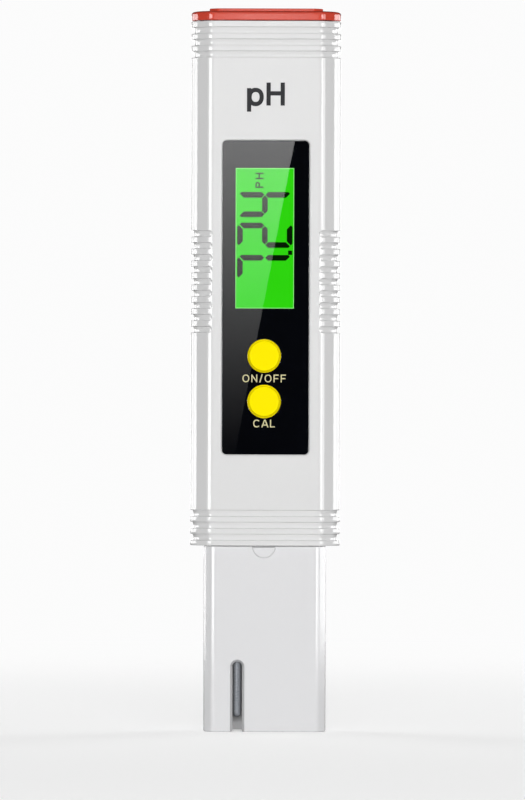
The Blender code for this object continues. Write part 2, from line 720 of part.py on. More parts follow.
def electrode(glass, silver, rubber, ceramic, steel):
    """Glass electrode, its wire, the reference half cell and the temperature sensor."""
    neck_angle = math.acos((STEM_RADIUS - 0.05) / BULB_RADIUS)
    steps = 6
    angles = [-math.pi / 2 + (neck_angle + math.pi / 2) * i / steps for i in range(steps + 1)]
    inner = BULB_RADIUS - BULB_WALL
    outer_arc = [(BULB_RADIUS * math.cos(a), BULB_CENTRE_Z + BULB_RADIUS * math.sin(a)) for a in angles]
    inner_arc = [(inner * math.cos(a), BULB_CENTRE_Z + inner * math.sin(a)) for a in reversed(angles)]
    outer_arc[0] = (0, BULB_CENTRE_Z - BULB_RADIUS)
    inner_arc[-1] = (0, BULB_CENTRE_Z - inner)
    turned("electrode_bulb", [*outer_arc, *inner_arc], glass, location=(STEM_X, 0, 0), sides=20)

    stem_low = outer_arc[-1][1] + 0.12
    turned("electrode_stem", ring(STEM_RADIUS, STEM_BORE, stem_low, STEM_TOP), glass,
           location=(STEM_X, 0, 0), sides=20)
    turned("electrode_wire", post(0.35, 4.2, STEM_TOP - 0.5), silver, location=(STEM_X, 0, 0), sides=10)
    turned("electrode_bushing", ring(BUSHING_RADIUS, STEM_RADIUS + 0.12, CHAMBER_TOP - 0.6, CHAMBER_TOP + 3.7),
           rubber, location=(STEM_X, 0, 0), sides=20)

    turned("reference_junction", post(JUNCTION_RADIUS, CHAMBER_TOP - 0.5, CHAMBER_TOP + 4), ceramic,
           location=(JUNCTION_X, 0, 0), sides=16)
    turned("reference_wire", post(0.3, CHAMBER_TOP + 4.4, FLANGE_HIGH + 2), silver,
           location=(JUNCTION_X, 0, 0), sides=10)

    tip = 3.0
    dome = [(SENSOR_RADIUS * math.sin(a), tip + SENSOR_RADIUS * (1 - math.cos(a)))
            for a in (0, math.pi / 6, math.pi / 3, math.pi / 2)]
    dome[0] = (0, tip)
    turned("temperature_sensor", [*dome, (SENSOR_RADIUS, FLANGE_HIGH + 2), (0, FLANGE_HIGH + 2)], steel,
           location=(SENSOR_X, SENSOR_Y, 0), sides=14)


# ---------------------------------------------------------------- wiring

def leads(red_wire, black_wire, white_wire, blue_wire):
    """Wires that run behind the board."""
    board_back = -BOARD_BACK + 0.9
    tube("battery_lead_positive", smooth_path([
        (WELL_X, 0, HOLDER_BOTTOM + 1.0), (WELL_X, 0.2, HOLDER_BOTTOM - 0.8), (5.4, 1.6, 124.5),
        (4.4, 1.6, 120), (3.8, board_back, 116.5)]), 0.35, red_wire)
    tube("battery_lead_negative", smooth_path([
        (-WELL_X, 0, HOLDER_BOTTOM + 1.0), (-WELL_X, 0.2, HOLDER_BOTTOM - 0.8), (-5.4, 1.6, 124.5),
        (-4.4, 1.6, 120), (-3.8, board_back, 116.5)]), 0.35, black_wire)
    tube("electrode_lead", smooth_path([
        (STEM_X, 0, STEM_TOP + 0.4), (STEM_X + 0.4, 0.6, 50), (6.0, 3.0, 56), (5.4, 3.0, 62),
        (3.4, board_back, 66)]), 0.4, white_wire)
    tube("sensor_lead", smooth_path([
        (SENSOR_X, SENSOR_Y, FLANGE_HIGH + 2.4), (SENSOR_X, -2.4, 49), (-5.8, 1.4, 55),
        (-4.6, 1.8, 61), (-3.2, board_back, 65)]), 0.35, blue_wire)


# ---------------------------------------------------------------- assembly

def clear_scene():
    for item in list(bpy.data.objects):
        bpy.data.objects.remove(item, do_unlink=True)


def build():
    clear_scene()
    white = material("white_plastic", (0.87, 0.87, 0.87), 0.32)
    red = material("red_plastic", (0.80, 0.10, 0.05), 0.25)
    yellow = material("yellow_plastic", (1.0, 0.85, 0.0), 0.35)
    grey_plastic = material("grey_plastic", (0.45, 0.46, 0.48), 0.5)
    black_film = material("black_film", (0.01, 0.01, 0.012), 0.4)
    clear_acrylic = material("clear_acrylic", (0.9, 0.92, 0.93), 0.03, transmission=1.0)
    display_glass = material("display_glass", (0.15, 0.75, 0.12), 0.1)
    light_guide = material("light_guide", (0.7, 0.95, 0.6), 0.3)
    switch_black = material("switch_black", (0.02, 0.02, 0.02), 0.5)
    board_green = material("board_green", (0.02, 0.22, 0.08), 0.4)
    resin = material("black_resin", (0.015, 0.015, 0.015), 0.3)
    steel = material("steel", (0.62, 0.62, 0.64), 0.25, metallic=1.0)
    contact_metal = material("contact_metal", (0.8, 0.66, 0.35), 0.3, metallic=1.0)
    silver = material("silver", (0.78, 0.78, 0.76), 0.3, metallic=1.0)
    rubber = material("black_rubber", (0.03, 0.03, 0.03), 0.7)
    probe_glass = material("probe_glass", (0.85, 0.9, 0.92), 0.02, transmission=1.0)
    ceramic = material("white_ceramic", (0.85, 0.83, 0.78), 0.7)
    red_wire = material("red_wire", (0.6, 0.02, 0.02), 0.5)
    black_wire = material("black_wire", (0.02, 0.02, 0.02), 0.5)
    white_wire = material("white_wire", (0.8, 0.8, 0.8), 0.5)
    blue_wire = material("blue_wire", (0.02, 0.08, 0.5), 0.5)

    front_shell(white)
    rear_shell(white)
    panel_sheet("face_lens", LENS_BACK, LENS_FRONT, clear_acrylic, has_window=False)
    panel_sheet("face_mask", MASK_BACK, MASK_FRONT, black_film, has_window=True)
    display_stack(display_glass, grey_plastic, light_guide, rubber)
    push_button("power", POWER_BUTTON_Z, yellow, switch_black, grey_plastic)
    push_button("cal", CAL_BUTTON_Z, yellow, switch_black, grey_plastic)
    main_board(board_green)
    board_parts(resin, steel, ceramic)
    screws(steel)
    battery_holder(grey_plastic)
    battery_cells(steel)
    battery_springs(steel)
    battery_cap(red, rubber, contact_metal)
    probe_housing(white)
    probe_gasket(rubber)
    electrode(probe_glass, silver, rubber, ceramic, steel)
    leads(red_wire, black_wire, white_wire, blue_wire)


build()
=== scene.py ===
"""Looks of the pocket pH meter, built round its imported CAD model.

Every piece is placed from the boxes of the CAD nodes it replaces or sits on. Lengths are in
millimetres, in the frame of the CAD model, and become metres where a mesh is made.
"""

import math
from collections import namedtuple

import bmesh
import bpy
from mathutils import Matrix, Vector


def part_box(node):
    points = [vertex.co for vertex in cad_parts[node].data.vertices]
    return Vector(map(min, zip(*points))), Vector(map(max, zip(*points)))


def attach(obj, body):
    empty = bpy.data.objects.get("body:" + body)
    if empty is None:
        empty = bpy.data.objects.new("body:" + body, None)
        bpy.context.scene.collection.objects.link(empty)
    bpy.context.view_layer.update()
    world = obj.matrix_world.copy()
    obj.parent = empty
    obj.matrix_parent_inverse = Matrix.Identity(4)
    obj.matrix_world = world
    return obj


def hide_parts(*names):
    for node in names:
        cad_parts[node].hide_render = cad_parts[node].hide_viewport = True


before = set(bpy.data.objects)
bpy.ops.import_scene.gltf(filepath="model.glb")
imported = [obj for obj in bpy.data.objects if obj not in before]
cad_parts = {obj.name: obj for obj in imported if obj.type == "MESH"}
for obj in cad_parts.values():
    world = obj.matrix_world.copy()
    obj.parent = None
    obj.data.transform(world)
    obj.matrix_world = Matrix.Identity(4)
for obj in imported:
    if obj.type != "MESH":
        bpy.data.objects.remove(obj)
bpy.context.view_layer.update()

MM = 0.001
HOUSING = "housing"

# Section of the housing, as in the CAD model
SIDE_CHAMFER_X = 3.85
SIDE_CHAMFER_Y = 3.35
WALL = 1.7
FLOOR_THICKNESS = 2.0
SEAM_GAP = 0.12
CUT_REACH = 40.0
CUT_HEIGHTS = (-10.0, 200.0)
PRINT_THICKNESS = 0.02
FRONT_EDGE_RADIUS = 2.2
SIDE_EDGE_RADIUS = 4.5

# Collars and grips
GROOVE_DEPTH = 0.7
GROOVE_CORNER = 0.5
GROOVE_HEIGHT = 1.3
RIB_HEIGHT = 1.2
LOWER_RIB_END = 1.1
UPPER_RIB_END = 1.3
GROOVES_PER_COLLAR = 3
GRIP_CENTRE_Z = 94.0
GRIP_COUNT = 9
GRIP_PITCH = 2.5
GRIP_HEIGHT = 1.25
GRIP_INNER_X = 11.2
GRIP_RAMP = 0.2
GRIP_PINCH = 0.12
EDGE_ROUND = 0.15
FLOOR_ROUND = 1.0
LIP_ANGLES = (0.0, 0.35, 0.7, 1.0, 1.25)
SHARP_ANGLE = 34.0
LONG_EDGE = 5.0
FLAT_MARGIN = 0.12
EQUAL_AREA = 0.01

# Panel and display
PANEL_CORNER = 1.1
PANEL_FIT = 0.12
POCKET_DEPTH = 1.2
POCKET_LIP = 0.2
WINDOW_WIDTH = 12.2
WINDOW_HEIGHT = 29.3
WINDOW_CLEARANCE = 1.6
# Width, reach and depth of a thin glowing frame inside the display window: a painted highlight for its
# bright edge
RIM_WIDTH = 0.14
RIM_REACH = 1.4
RIM_DEPTH = 0.5
BUTTON_RADIUS = 3.2
BUTTON_HOLE_GAP = 0.3
BUTTON_ROUND = 0.32
BUTTON_DISH = 0.07
BUTTON_DISH_RADII = (2.6, 2.1, 1.5, 0.8, 0)
BUTTON_SKIRT_RADIUS = 4.2
BUTTON_SKIRT_GAPS = (0.75, 0.15)
BUTTON_STEM_RADIUS = 1.2

# Display digits, read along the meter
DIGIT_CENTRES = (96.95, 103.68, 110.09)
DIGIT_HALF_WIDTH = 2.03
DIGIT_HALF_HEIGHT = 5.18
SEGMENT_WIDTH = 1.18
SEGMENT_GAP = 0.1
SEGMENT_REACH = 0.07
TIP_SHIFT = 0.42
POINT_ACROSS = 100.05
POINT_UP = -5.3
POINT_SIZE = (0.9, 0.85)
# start, end and outward direction of each bar, in half digits
BARS = {"top": ((-1, 1), (1, 1), (0, 1)), "middle": ((-1, 0), (1, 0), (0, 1)),
        "bottom": ((-1, -1), (1, -1), (0, -1)), "upper_left": ((-1, 0), (-1, 1), (-1, 0)),
        "upper_right": ((1, 0), (1, 1), (1, 0)), "lower_left": ((-1, 0), (-1, -1), (-1, 0)),
        "lower_right": ((1, 0), (1, -1), (1, 0))}
LIT = {"7": ("top", "upper_right", "lower_right"),
       "2": ("top", "upper_right", "middle", "lower_left", "bottom"),
       "4": ("upper_left", "middle", "upper_right", "lower_right")}

# Printed words: text, width and distance below the button
LABELS = {"power": ("ON/OFF", 9.05, 4.7), "cal": ("CAL", 4.5, 4.6)}
LABEL_HEIGHT = 1.62
TITLE_WIDTH = 7.9
TITLE_HEIGHT = 4.8
TITLE_Z = 133.1
TITLE_X = -0.05
UNIT_WIDTH = 3.18
UNIT_HEIGHT = 1.7
UNIT_ACROSS = 115.15
UNIT_UP = 1.15

# Cap and battery bay
CAP_GAP = 0.15
PLATEAU_WIDTH = 23.7
PLATEAU_DEPTH = 11.6
PLUG_WIDTH = 24.3
PLUG_DEPTH = 11.4
PLUG_CORNER = 3.2
SEAL_RADIUS = 0.4
SOCKET_BOTTOM = 142.1
WELL_RADIUS = 5.95
# (inset, drop below the top) of the crown of the cap; (step in, rise) at the ends of a cell
CAP_CROWN = ((0, 1.25), (0.02, 1.12), (0.09, 0.98), (0.22, 0.85), (0.42, 0.74), (0.75, 0.66),
             (1.3, 0.60), (2.2, 0.55), (3.2, 0.52))
CELL_FOOT = ((1.1, 0), (0.75, 0.12), (0.7, 0.4), (0.7, 0.9), (0.35, 0.9), (0.1, 1.0), (0, 1.2))
CELL_HEAD = ((0, -0.35), (0.1, -0.12), (0.35, -0.05), (0.6, -0.03), (0.66, 0), (1.0, 0),
             (1.06, -0.05))

# Screws and posts; a front post has a radius, a start, and the radius, start and floor of its hole
BOARD_SCREWS = tuple(f"board_screw_{number}" for number in range(1, 5))
SHELL_SCREWS = ("shell_screw_lower", "shell_screw_upper")
FRONT_POSTS = ((BOARD_SCREWS, 1.8, 2.2, 0.75, 1.0, 1.0), (SHELL_SCREWS, 2.3, 0.5, 0.95, -1.0, 0.8))
REAR_POST = (2.8, 0.3)
REAR_HOLE = (1.1, -1.0)
POST_BITE = 0.3
RECESS_RADIUS = 2.1
RECESS_LIP = 0.25
SCREW_SEAT = 6.2
SCREW_HEAD_HEIGHT = 1.3
SCREW_HEAD = ((0, 0), (0, 0.5), (0.12, 0.85), (0.45, 1.15), (0.95, 1.28))
SCREW_CROSS = (2.2, 0.46)
THREAD_TURNS = 22
THREAD_PITCH = 0.42

# Probe section
PROBE_DEPTH = 13.2
PROBE_CHAMFER = 1.75
PROBE_EDGE_RADIUS = 1.7
PROBE_WALL = 1.5
CHAMBER_TOP = 27.0
KEY_X = -0.2
KEY_RADIUS = 2.5
KEY_RISE = 0.5
COLLAR_GAP = 0.15
NECK = (22.0, 10.4, 2.2, 2.2)
NECK_OPENING = (22.6, 11.0, 2.3, 2.3)
FLANGE = (25.0, 12.4, 3.4, 3.0)
FLANGE_THICKNESS = 1.9
BULB_BORE = 3.25
SENSOR_BORE = 1.05
JUNCTION_BORE = 1.25
BUSHING_BORE = 4.4
BULB_WALL = 0.35
STEM_BORE = 2.3
BUSHING_LIPS = 3
BUSHING_LIP = ((0.35, 0), (0, 0.35), (0, 0.7), (0.35, 1.05))
BUSHING_PITCH = 1.3
SLOT_WIDTH = 2.0
SLOT_TOP = 14.6
SLOT_BEVEL = 0.5
SLOT_BEVEL_DEPTH = 0.9

# Camera and studio, in metres
CAMERA_DISTANCE = 1.6
CAMERA_HEIGHT = 0.0693
CAMERA_X = -0.00058
CAMERA_ROLL = 0.17
FRAME_HEIGHT = 0.1677
BACKDROP = 0.97
AMBIENT = 0.03
FLOOR_HALF_SIZE = 6.0
FLOOR_LIFT = 0.54
FLOOR_SPILL = 0.3
FADE_START = 0.15
FADE_END = 0.6
# name, what it lights, azimuth, elevation, distance, width, height, radiance
SOFTBOXES = (
    ("left_strip", "gloss", -34, 0.5, 0.5, 0.30, 0.3, 5.0),
    ("right_strip", "gloss", 39, 0.5, 0.5, 0.19, 0.3, 5.6),
    ("right_shoulder", "gloss", 65, 0.5, 0.5, 0.20, 0.3, 3.2),
    ("left_side", "gloss", -100, 0.5, 0.5, 0.16, 0.3, 5.0),
    ("right_side", "gloss", 98, 0.5, 0.5, 0.19, 0.3, 5.0),
    ("left_rear", "gloss", -126, 0.5, 0.5, 0.32, 0.3, 3.4),
    ("right_rear", "gloss", 126, 0.5, 0.5, 0.32, 0.3, 3.4),
    ("left_fill", "matt", -132, 10, 1.4, 0.8, 0.8, 6.0),
    ("right_fill", "matt", 132, 10, 1.4, 0.8, 0.8, 6.0),
    ("back_strip", "gloss", 180, 0.5, 1.7, 1.4, 0.3, 2.2),
    ("back_wall", "matt", 180, 8, 1.7, 1.4, 0.8, 2.2),
    ("key", "matt", 2.2, 4, 2.6, 1.1, 0.56, 34.4),
    ("top_fill", "both", 0, 65, 2.2, 1.5, 0.6, 1.2),
)
CARD_DISTANCE = 1.8
CARD_SLOPE = 0.188
CARD_CORNER_X = 6.0
CARD_GLOW = (0.02, 2.45)
CARD_FALL = 1.5
CAP_CARD_GLOW = 2.1
CAP_CARD_MARGIN = 12.0
FLAG_HALF_SIZE = 120.0

Extent = namedtuple("Extent", "low high size centre axis")


def extent(*nodes):
    """The box round some CAD nodes, in millimetres; axis is its centre on the middle plane."""
    boxes = [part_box(node) for node in nodes]
    low = Vector(min(box[0][i] for box in boxes) for i in range(3)) / MM
    high = Vector(max(box[1][i] for box in boxes) for i in range(3)) / MM
    centre = (low + high) / 2
    return Extent(low, high, high - low, centre, Vector((centre.x, 0, centre.z)))


BODY = extent("front_shell", "rear_shell")
PROBE = extent("probe_housing")
CAP = extent("battery_cap")
LENS = extent("face_lens")
MASK = extent("face_mask")
DISPLAY = extent("lcd_glass")
SEAL = extent("cap_seal")
BUTTONS = {"power": extent("power_button"), "cal": extent("cal_button")}


# ---------------------------------------------------------------- outlines

def rectangle(width, height, x=0.0, y=0.0):
    return [(x - width / 2, y - height / 2), (x + width / 2, y - height / 2),
            (x + width / 2, y + height / 2), (x - width / 2, y + height / 2)]


def chamfered(width, height, chamfer_x, chamfer_y):
    x = width / 2
    y = height / 2
    return [(x - chamfer_x, -y), (x, -y + chamfer_y), (x, y - chamfer_y), (x - chamfer_x, y),
            (chamfer_x - x, y), (-x, y - chamfer_y), (-x, -y + chamfer_y), (chamfer_x - x, -y)]


def circle(radius, sides=64, x=0.0, y=0.0):
    return [(x + radius * math.cos(a), y + radius * math.sin(a))
            for a in (2 * math.pi * i / sides for i in range(sides))]


def rounded_box(size_x, size_y, radius, steps, depth=0.0):
    """A rounded rectangle, moved inwards by depth."""
    return rounded(rectangle(size_x - 2 * depth, size_y - 2 * depth), [radius - depth], steps)


def mitre(edge_in, edge_out, distance):
    """The step that moves a corner inwards so that both of its edges move by the distance."""
    normal = Vector((-edge_in.y - edge_out.y, edge_in.x + edge_out.x)).normalized()
    return normal * distance / normal.dot(Vector((-edge_out.y, edge_out.x)))


def inset(points, distance):
    """Move every edge of a convex anticlockwise outline inwards by the same distance."""
    moved = []
    for i, point in enumerate(points):
        here = Vector(point)
        edge_in = (here - Vector(points[i - 1])).normalized()
        edge_out = (Vector(points[(i + 1) % len(points)]) - here).normalized()
        moved.append(tuple(here + mitre(edge_in, edge_out, distance)))
    return moved


def eased(low, high, ease):
    """(inset, height) profile of a plate with all its edges broken."""
    return [(ease, low), (0, low + ease), (0, high - ease), (ease, high)]


def arc_at(before, here, after, radius, steps):
    """Points of the arc that rounds one corner."""
    here = Vector(here)
    back = (Vector(before) - here).normalized()
    onward = (Vector(after) - here).normalized()
    half = back.angle(onward) / 2
    centre = here + (back + onward).normalized() * radius / math.sin(half)
    start = here + back * radius / math.tan(half) - centre
    end = here + onward * radius / math.tan(half) - centre
    sweep = start.angle_signed(end)
    return [tuple(centre + Matrix.Rotation(-sweep * i / steps, 2) @ start) for i in range(steps + 1)]


def rounded(points, radii, steps):
    """A closed outline with every corner rounded."""
    outline = []
    for i, point in enumerate(points):
        radius = radii[i % len(radii)]
        outline += arc_at(points[i - 1], point, points[(i + 1) % len(points)], radius, steps)
    return outline


def rounded_profile(points, radii, steps=3):
    """An open line with its inner corners rounded, each with its own radius."""
    line = [points[0]]
    for before, here, after, radius in zip(points, points[1:], points[2:], radii):
        line += arc_at(before, here, after, radius, steps)
    return line + [points[-1]]


def stepped(steps, radius, height):
    """Profile points from steps of (distance in from the radius, rise above the height)."""
    return [(radius - inward, height + rise) for inward, rise in steps]


def body_outline(depth=0.0, steps=10):
    """Section of the housing, moved inwards by depth. The print stands on a slightly smaller shell."""
    corners = chamfered(BODY.size.x, BODY.size.y, SIDE_CHAMFER_X, SIDE_CHAMFER_Y)
    radii = [max(radius - depth, 0.2) for radius in
             (FRONT_EDGE_RADIUS, SIDE_EDGE_RADIUS, SIDE_EDGE_RADIUS, FRONT_EDGE_RADIUS)]
    return with_margins(rounded(inset(corners, depth + PRINT_THICKNESS), radii, steps))


def with_margins(outline):
    """Add a point just inside each end of the long edges, to keep the flat faces flat."""
    marked = []
    for point, after in zip(outline, outline[1:] + outline[:1]):
        edge = Vector(after) - Vector(point)
        marked.append(point)
        if edge.length > LONG_EDGE:
            step = edge.normalized() * FLAT_MARGIN
            marked += [tuple(Vector(point) + step), tuple(Vector(after) - step)]
    return marked


# ---------------------------------------------------------------- meshes

def upright(x, y, height, centre=(0, 0, 0)):
    return (centre[0] + x, centre[1] + y, centre[2] + height)


def frontward(x, y, height, centre=(0, 0, 0)):
    """x to the right, y up, height towards the reader."""
    return (centre[0] + x, centre[1] - height, centre[2] + y)


def rearward(x, y, height, centre=(0, 0, 0)):
    return (centre[0] + x, centre[1] + height, centre[2] - y)


def skin_into(builder, rings, loop=False):
    """Skin a stack of equal rings of points in millimetres; the ends are capped unless it is a loop."""
    levels = [[builder.verts.new(Vector(point) * MM) for point in ring] for ring in rings]
    pairs = list(zip(levels, levels[1:]))
    if loop:
        pairs.append((levels[-1], levels[0]))
    else:
        builder.faces.new(list(reversed(levels[0])))
        builder.faces.new(levels[-1])
    for lower, upper in pairs:
        for i in range(len(lower)):
            j = (i + 1) % len(lower)
            builder.faces.new((lower[i], lower[j], upper[j], upper[i]))


def object_from(name, builder):
    bmesh.ops.recalc_face_normals(builder, faces=builder.faces)
    mesh = bpy.data.meshes.new(name)
    builder.to_mesh(mesh)
    builder.free()
    mesh.shade_smooth()
    made = bpy.data.objects.new(name, mesh)
    bpy.context.scene.collection.objects.link(made)
    return made


def skin(name, *stacks, loop=False):
    builder = bmesh.new()
    for rings in stacks:
        skin_into(builder, rings, loop)
    return object_from(name, builder)


def prism(name, outline, low, high, place=upright, centre=(0, 0, 0)):
    return skin(name, [[place(x, y, height, centre) for x, y in outline] for height in (low, high)])


def soft_prism(name, outline_at, profile, place=upright, centre=(0, 0, 0)):
    """A solid whose outline follows a profile of (inset, height) steps."""
    return skin(name, [[place(x, y, height, centre) for x, y in outline_at(depth)]
                       for depth, height in profile])


def turned(name, profile, place=upright, centre=(0, 0, 0), sides=64):
    """Turn a (radius, height) profile; a profile off the axis closes on itself."""
    builder = bmesh.new()
    rings = []
    for radius, height in profile:
        if radius == 0:
            points = [place(0, 0, height, centre)]
        else:
            points = [place(x, y, height, centre) for x, y in circle(radius, sides)]
        rings.append([builder.verts.new(Vector(point) * MM) for point in points])
    pairs = list(zip(rings, rings[1:]))
    if len(rings[0]) > 1:
        pairs.append((rings[-1], rings[0]))
    for first, second in pairs:
        for i in range(sides):
            j = (i + 1) % sides
            corners = [first[i % len(first)], first[j % len(first)],
                       second[j % len(second)], second[i % len(second)]]
            builder.faces.new(list(dict.fromkeys(corners)))
    return object_from(name, builder)


def settle(target):
    """Apply the target's modifiers."""
    bpy.context.view_layer.update()
    graph = bpy.context.evaluated_depsgraph_get()
    mesh = bpy.data.meshes.new_from_object(target.evaluated_get(graph))
    target.modifiers.clear()
    target.data = mesh


def combine(target, operation, tools):
    for tool in tools:
        modifier = target.modifiers.new(tool.name, "BOOLEAN")
        modifier.operation = operation
        modifier.solver = "EXACT"
        modifier.object = tool
    settle(target)
    for tool in tools:
        bpy.data.objects.remove(tool)


def lipped(low, surface, radius):
    """Profile of a cutter whose mouth leaves a rounded lip of this radius."""
    arc = [(-radius * (1 - math.cos(a)), surface - radius * (1 - math.sin(a))) for a in LIP_ANGLES]
    return [(0, low), *arc, (arc[-1][0] - 0.03, surface + 0.06)]


def carve(target, *tools):
    combine(target, "DIFFERENCE", tools)


def weld(target, *tools):
    combine(target, "UNION", tools)


def finish_mesh(target, bevel=0.0):
    """Clean the mesh, round its sharp edges if asked and shade its large faces flat."""
    builder = bmesh.new()
    builder.from_mesh(target.data)
    bmesh.ops.remove_doubles(builder, verts=builder.verts, dist=1e-7)
    builder.to_mesh(target.data)
    builder.free()
    if bevel:
        rounding = target.modifiers.new("edge_rounding", "BEVEL")
        rounding.width = bevel * MM
        rounding.segments = 2
        rounding.limit_method = "ANGLE"
        rounding.angle_limit = math.radians(SHARP_ANGLE)
        settle(target)
    target.data.shade_smooth()
    target.data.set_sharp_from_angle(angle=math.radians(SHARP_ANGLE))
    weights = target.modifiers.new("flat_faces", "WEIGHTED_NORMAL")
    weights.keep_sharp = True
    weights.weight = 80
    weights.thresh = EQUAL_AREA * MM * MM


def show(target, finish, stands_for=(), body=HOUSING, bevel=None):
    """Dress a piece and attach it to its CAD body; a bevel, even of 0, finishes its mesh first."""
    if bevel is not None:
        finish_mesh(target, bevel)
    target.data.materials.clear()
    target.data.materials.append(finish)
    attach(target, body)
    if stands_for:
        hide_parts(*stands_for)


# ---------------------------------------------------------------- materials

def add_node(tree, kind, **inputs):
    """A new shader node with some of its sockets set; an underscore stands for a space."""
    node = tree.nodes.new(f"ShaderNode{kind}")
    for socket, value in inputs.items():
        node.inputs[socket.replace("_", " ")].default_value = value
    return node


def chain(tree, *sockets):
    """Link pairs of sockets, given as output, input, output, input."""
    for output, entry in zip(sockets[::2], sockets[1::2]):
        tree.links.new(output, entry)


class Finish:
    """A Principled material that is built up node by node."""

    def __init__(self, name, colour, roughness, metallic=0.0, **settings):
        self.material = bpy.data.materials.new(name)
        self.material.use_nodes = True
        self.tree = self.material.node_tree
        self.shader = self.tree.nodes["Principled BSDF"]
        self.colour = colour
        self.roughness = roughness
        self.set("Base Color", (*colour, 1.0))
        self.set("Roughness", roughness)
        self.set("Metallic", metallic)
        for socket, value in settings.items():
            self.set(socket.replace("_", " "), value)
        self.place = add_node(self.tree, "TexCoord").outputs["Object"]

    def set(self, socket, value):
        self.shader.inputs[socket].default_value = value

    def feed(self, output, socket):
        self.tree.links.new(output, self.shader.inputs[socket])

    def noise(self, size, detail=3.0, stretch=None):
        """Noise whose features are about size millimetres across."""
        texture = add_node(self.tree, "TexNoise", Scale=1.0 / (size * MM), Detail=detail)
        source = self.place
        if stretch:
            mapping = add_node(self.tree, "Mapping", Scale=stretch)
            chain(self.tree, source, mapping.inputs["Vector"])
            source = mapping.outputs["Vector"]
        chain(self.tree, source, texture.inputs["Vector"])
        return texture.outputs["Fac"]

    def between(self, factor, low, high):
        """Map a noise factor, which seldom leaves 0.3 to 0.7, to a range of numbers."""
        node = add_node(self.tree, "MapRange", From_Min=0.3, From_Max=0.7, To_Min=low, To_Max=high)
        chain(self.tree, factor, node.inputs["Value"])
        return node.outputs["Result"]

    def mix(self, factor, first, second, socket):
        """Feed a colour socket with a blend of two colours."""
        node = add_node(self.tree, "Mix")
        node.data_type = "RGBA"
        node.inputs["A"].default_value = (*first, 1.0)
        node.inputs["B"].default_value = (*second, 1.0)
        chain(self.tree, factor, node.inputs["Factor"])
        self.feed(node.outputs["Result"], socket)

    def tint(self, factor, other):
        """Blend the base colour towards another where the factor is high."""
        self.mix(factor, self.colour, other, "Base Color")

    def vary_roughness(self, factor, amount):
        self.feed(self.between(factor, self.roughness - amount, self.roughness + amount), "Roughness")

    def bump(self, factor, height):
        """Raise the surface by height millimetres where the factor is high."""
        node = add_node(self.tree, "Bump", Strength=1.0, Distance=height * MM)
        chain(self.tree, factor, node.inputs["Height"])
        self.feed(node.outputs["Normal"], "Normal")


def moulded(name, colour, roughness, grain=0.18, height=0.002, shift=0.03, **settings):
    """Injection-moulded plastic: faint flow mottling, a fine mould texture and uneven gloss."""
    finish = Finish(name, colour, roughness, **settings)
    darker = tuple(channel * (1 - 2 * shift) for channel in colour)
    finish.tint(finish.noise(9.0, 2.0), darker)
    finish.vary_roughness(finish.noise(2.5, 3.0), roughness * 0.14)
    finish.bump(finish.noise(grain, 2.0), height)
    return finish.material


def metal(name, colour, roughness, stretch=(1.0, 1.0, 8.0), metallic=1.0):
    """Plated metal with fine drawing marks."""
    finish = Finish(name, colour, roughness, metallic=metallic)
    marks = finish.noise(0.4, 4.0, stretch)
    finish.vary_roughness(marks, roughness * 0.35)
    finish.tint(finish.noise(1.6, 2.0), tuple(channel * 0.86 for channel in colour))
    finish.bump(marks, 0.002)
    return finish.material


def elastic(name, colour):
    """Black rubber with a dusty, matt grain."""
    finish = Finish(name, colour, 0.72)
    finish.tint(finish.noise(1.2, 4.0), tuple(channel * 1.8 + 0.01 for channel in colour))
    finish.vary_roughness(finish.noise(0.5, 3.0), 0.1)
    finish.bump(finish.noise(0.12, 3.0), 0.006)
    return finish.material


def clear(name, colour, roughness, ior):
    """Clear plastic or glass with faint wipe marks in its gloss."""
    finish = Finish(name, colour, roughness, IOR=ior, Transmission_Weight=1.0)
    finish.vary_roughness(finish.noise(5.0, 3.0, (1.0, 1.0, 0.2)), roughness * 0.5)
    return finish.material


def solder_mask(name):
    """Green lacquer over copper tracks."""
    finish = Finish(name, (0.012, 0.13, 0.045), 0.35)
    tracks = add_node(finish.tree, "TexBrick", Scale=1.0, Brick_Width=2.2 * MM, Row_Height=0.9 * MM,
                      Mortar_Size=0.14 * MM)
    chain(finish.tree, finish.place, tracks.inputs["Vector"])
    finish.tint(tracks.outputs["Fac"], (0.03, 0.24, 0.08))
    finish.bump(tracks.outputs["Fac"], 0.03)
    return finish.material


def lit_display():
    """A green display whose backlight is slightly cloudy."""
    finish = Finish("display_green", (0.004, 0.03, 0.002), 0.4, Specular_IOR_Level=0.1,
                    Emission_Strength=1.0)
    cloud = finish.between(finish.noise(14.0, 1.0), 0.0, 1.0)
    finish.mix(cloud, (0.021, 0.64, 0.001), (0.027, 0.69, 0.003), "Emission Color")
    return finish.material


def glowing(name, colour, strength):
    finish = Finish(name, colour, 0.4, Emission_Strength=strength, Emission_Color=(*colour, 1.0))
    finish.vary_roughness(finish.noise(1.0, 2.0), 0.05)
    return finish.material


WHITE = moulded("white_abs", (0.70, 0.70, 0.70), 0.11, shift=0.01, Specular_IOR_Level=0.9)
PROBE_WHITE = moulded("probe_white_abs", (0.70, 0.70, 0.71), 0.11, shift=0.01, Specular_IOR_Level=0.9)
RED = moulded("red_abs", (0.64, 0.064, 0.036), 0.08, shift=0.04, height=0.0006, Specular_IOR_Level=0.9)
YELLOW = moulded("yellow_key", (0.92, 0.77, 0.0), 0.45, shift=0.008, height=0.001,
                 Specular_IOR_Level=0.05)
GREY = moulded("grey_plastic", (0.17, 0.175, 0.19), 0.5, shift=0.08)
SWITCH_BLACK = moulded("switch_black", (0.02, 0.02, 0.022), 0.45, shift=0.2)
MASK_BLACK = moulded("mask_black", (0.0022, 0.0026, 0.0040), 0.6, shift=0.2, height=0.001,
                     Specular_IOR_Level=0.0)
RESIN = moulded("chip_resin", (0.012, 0.012, 0.013), 0.38, shift=0.3)
LIGHT_GUIDE = moulded("light_guide_milk", (0.75, 0.92, 0.62), 0.35, shift=0.04)
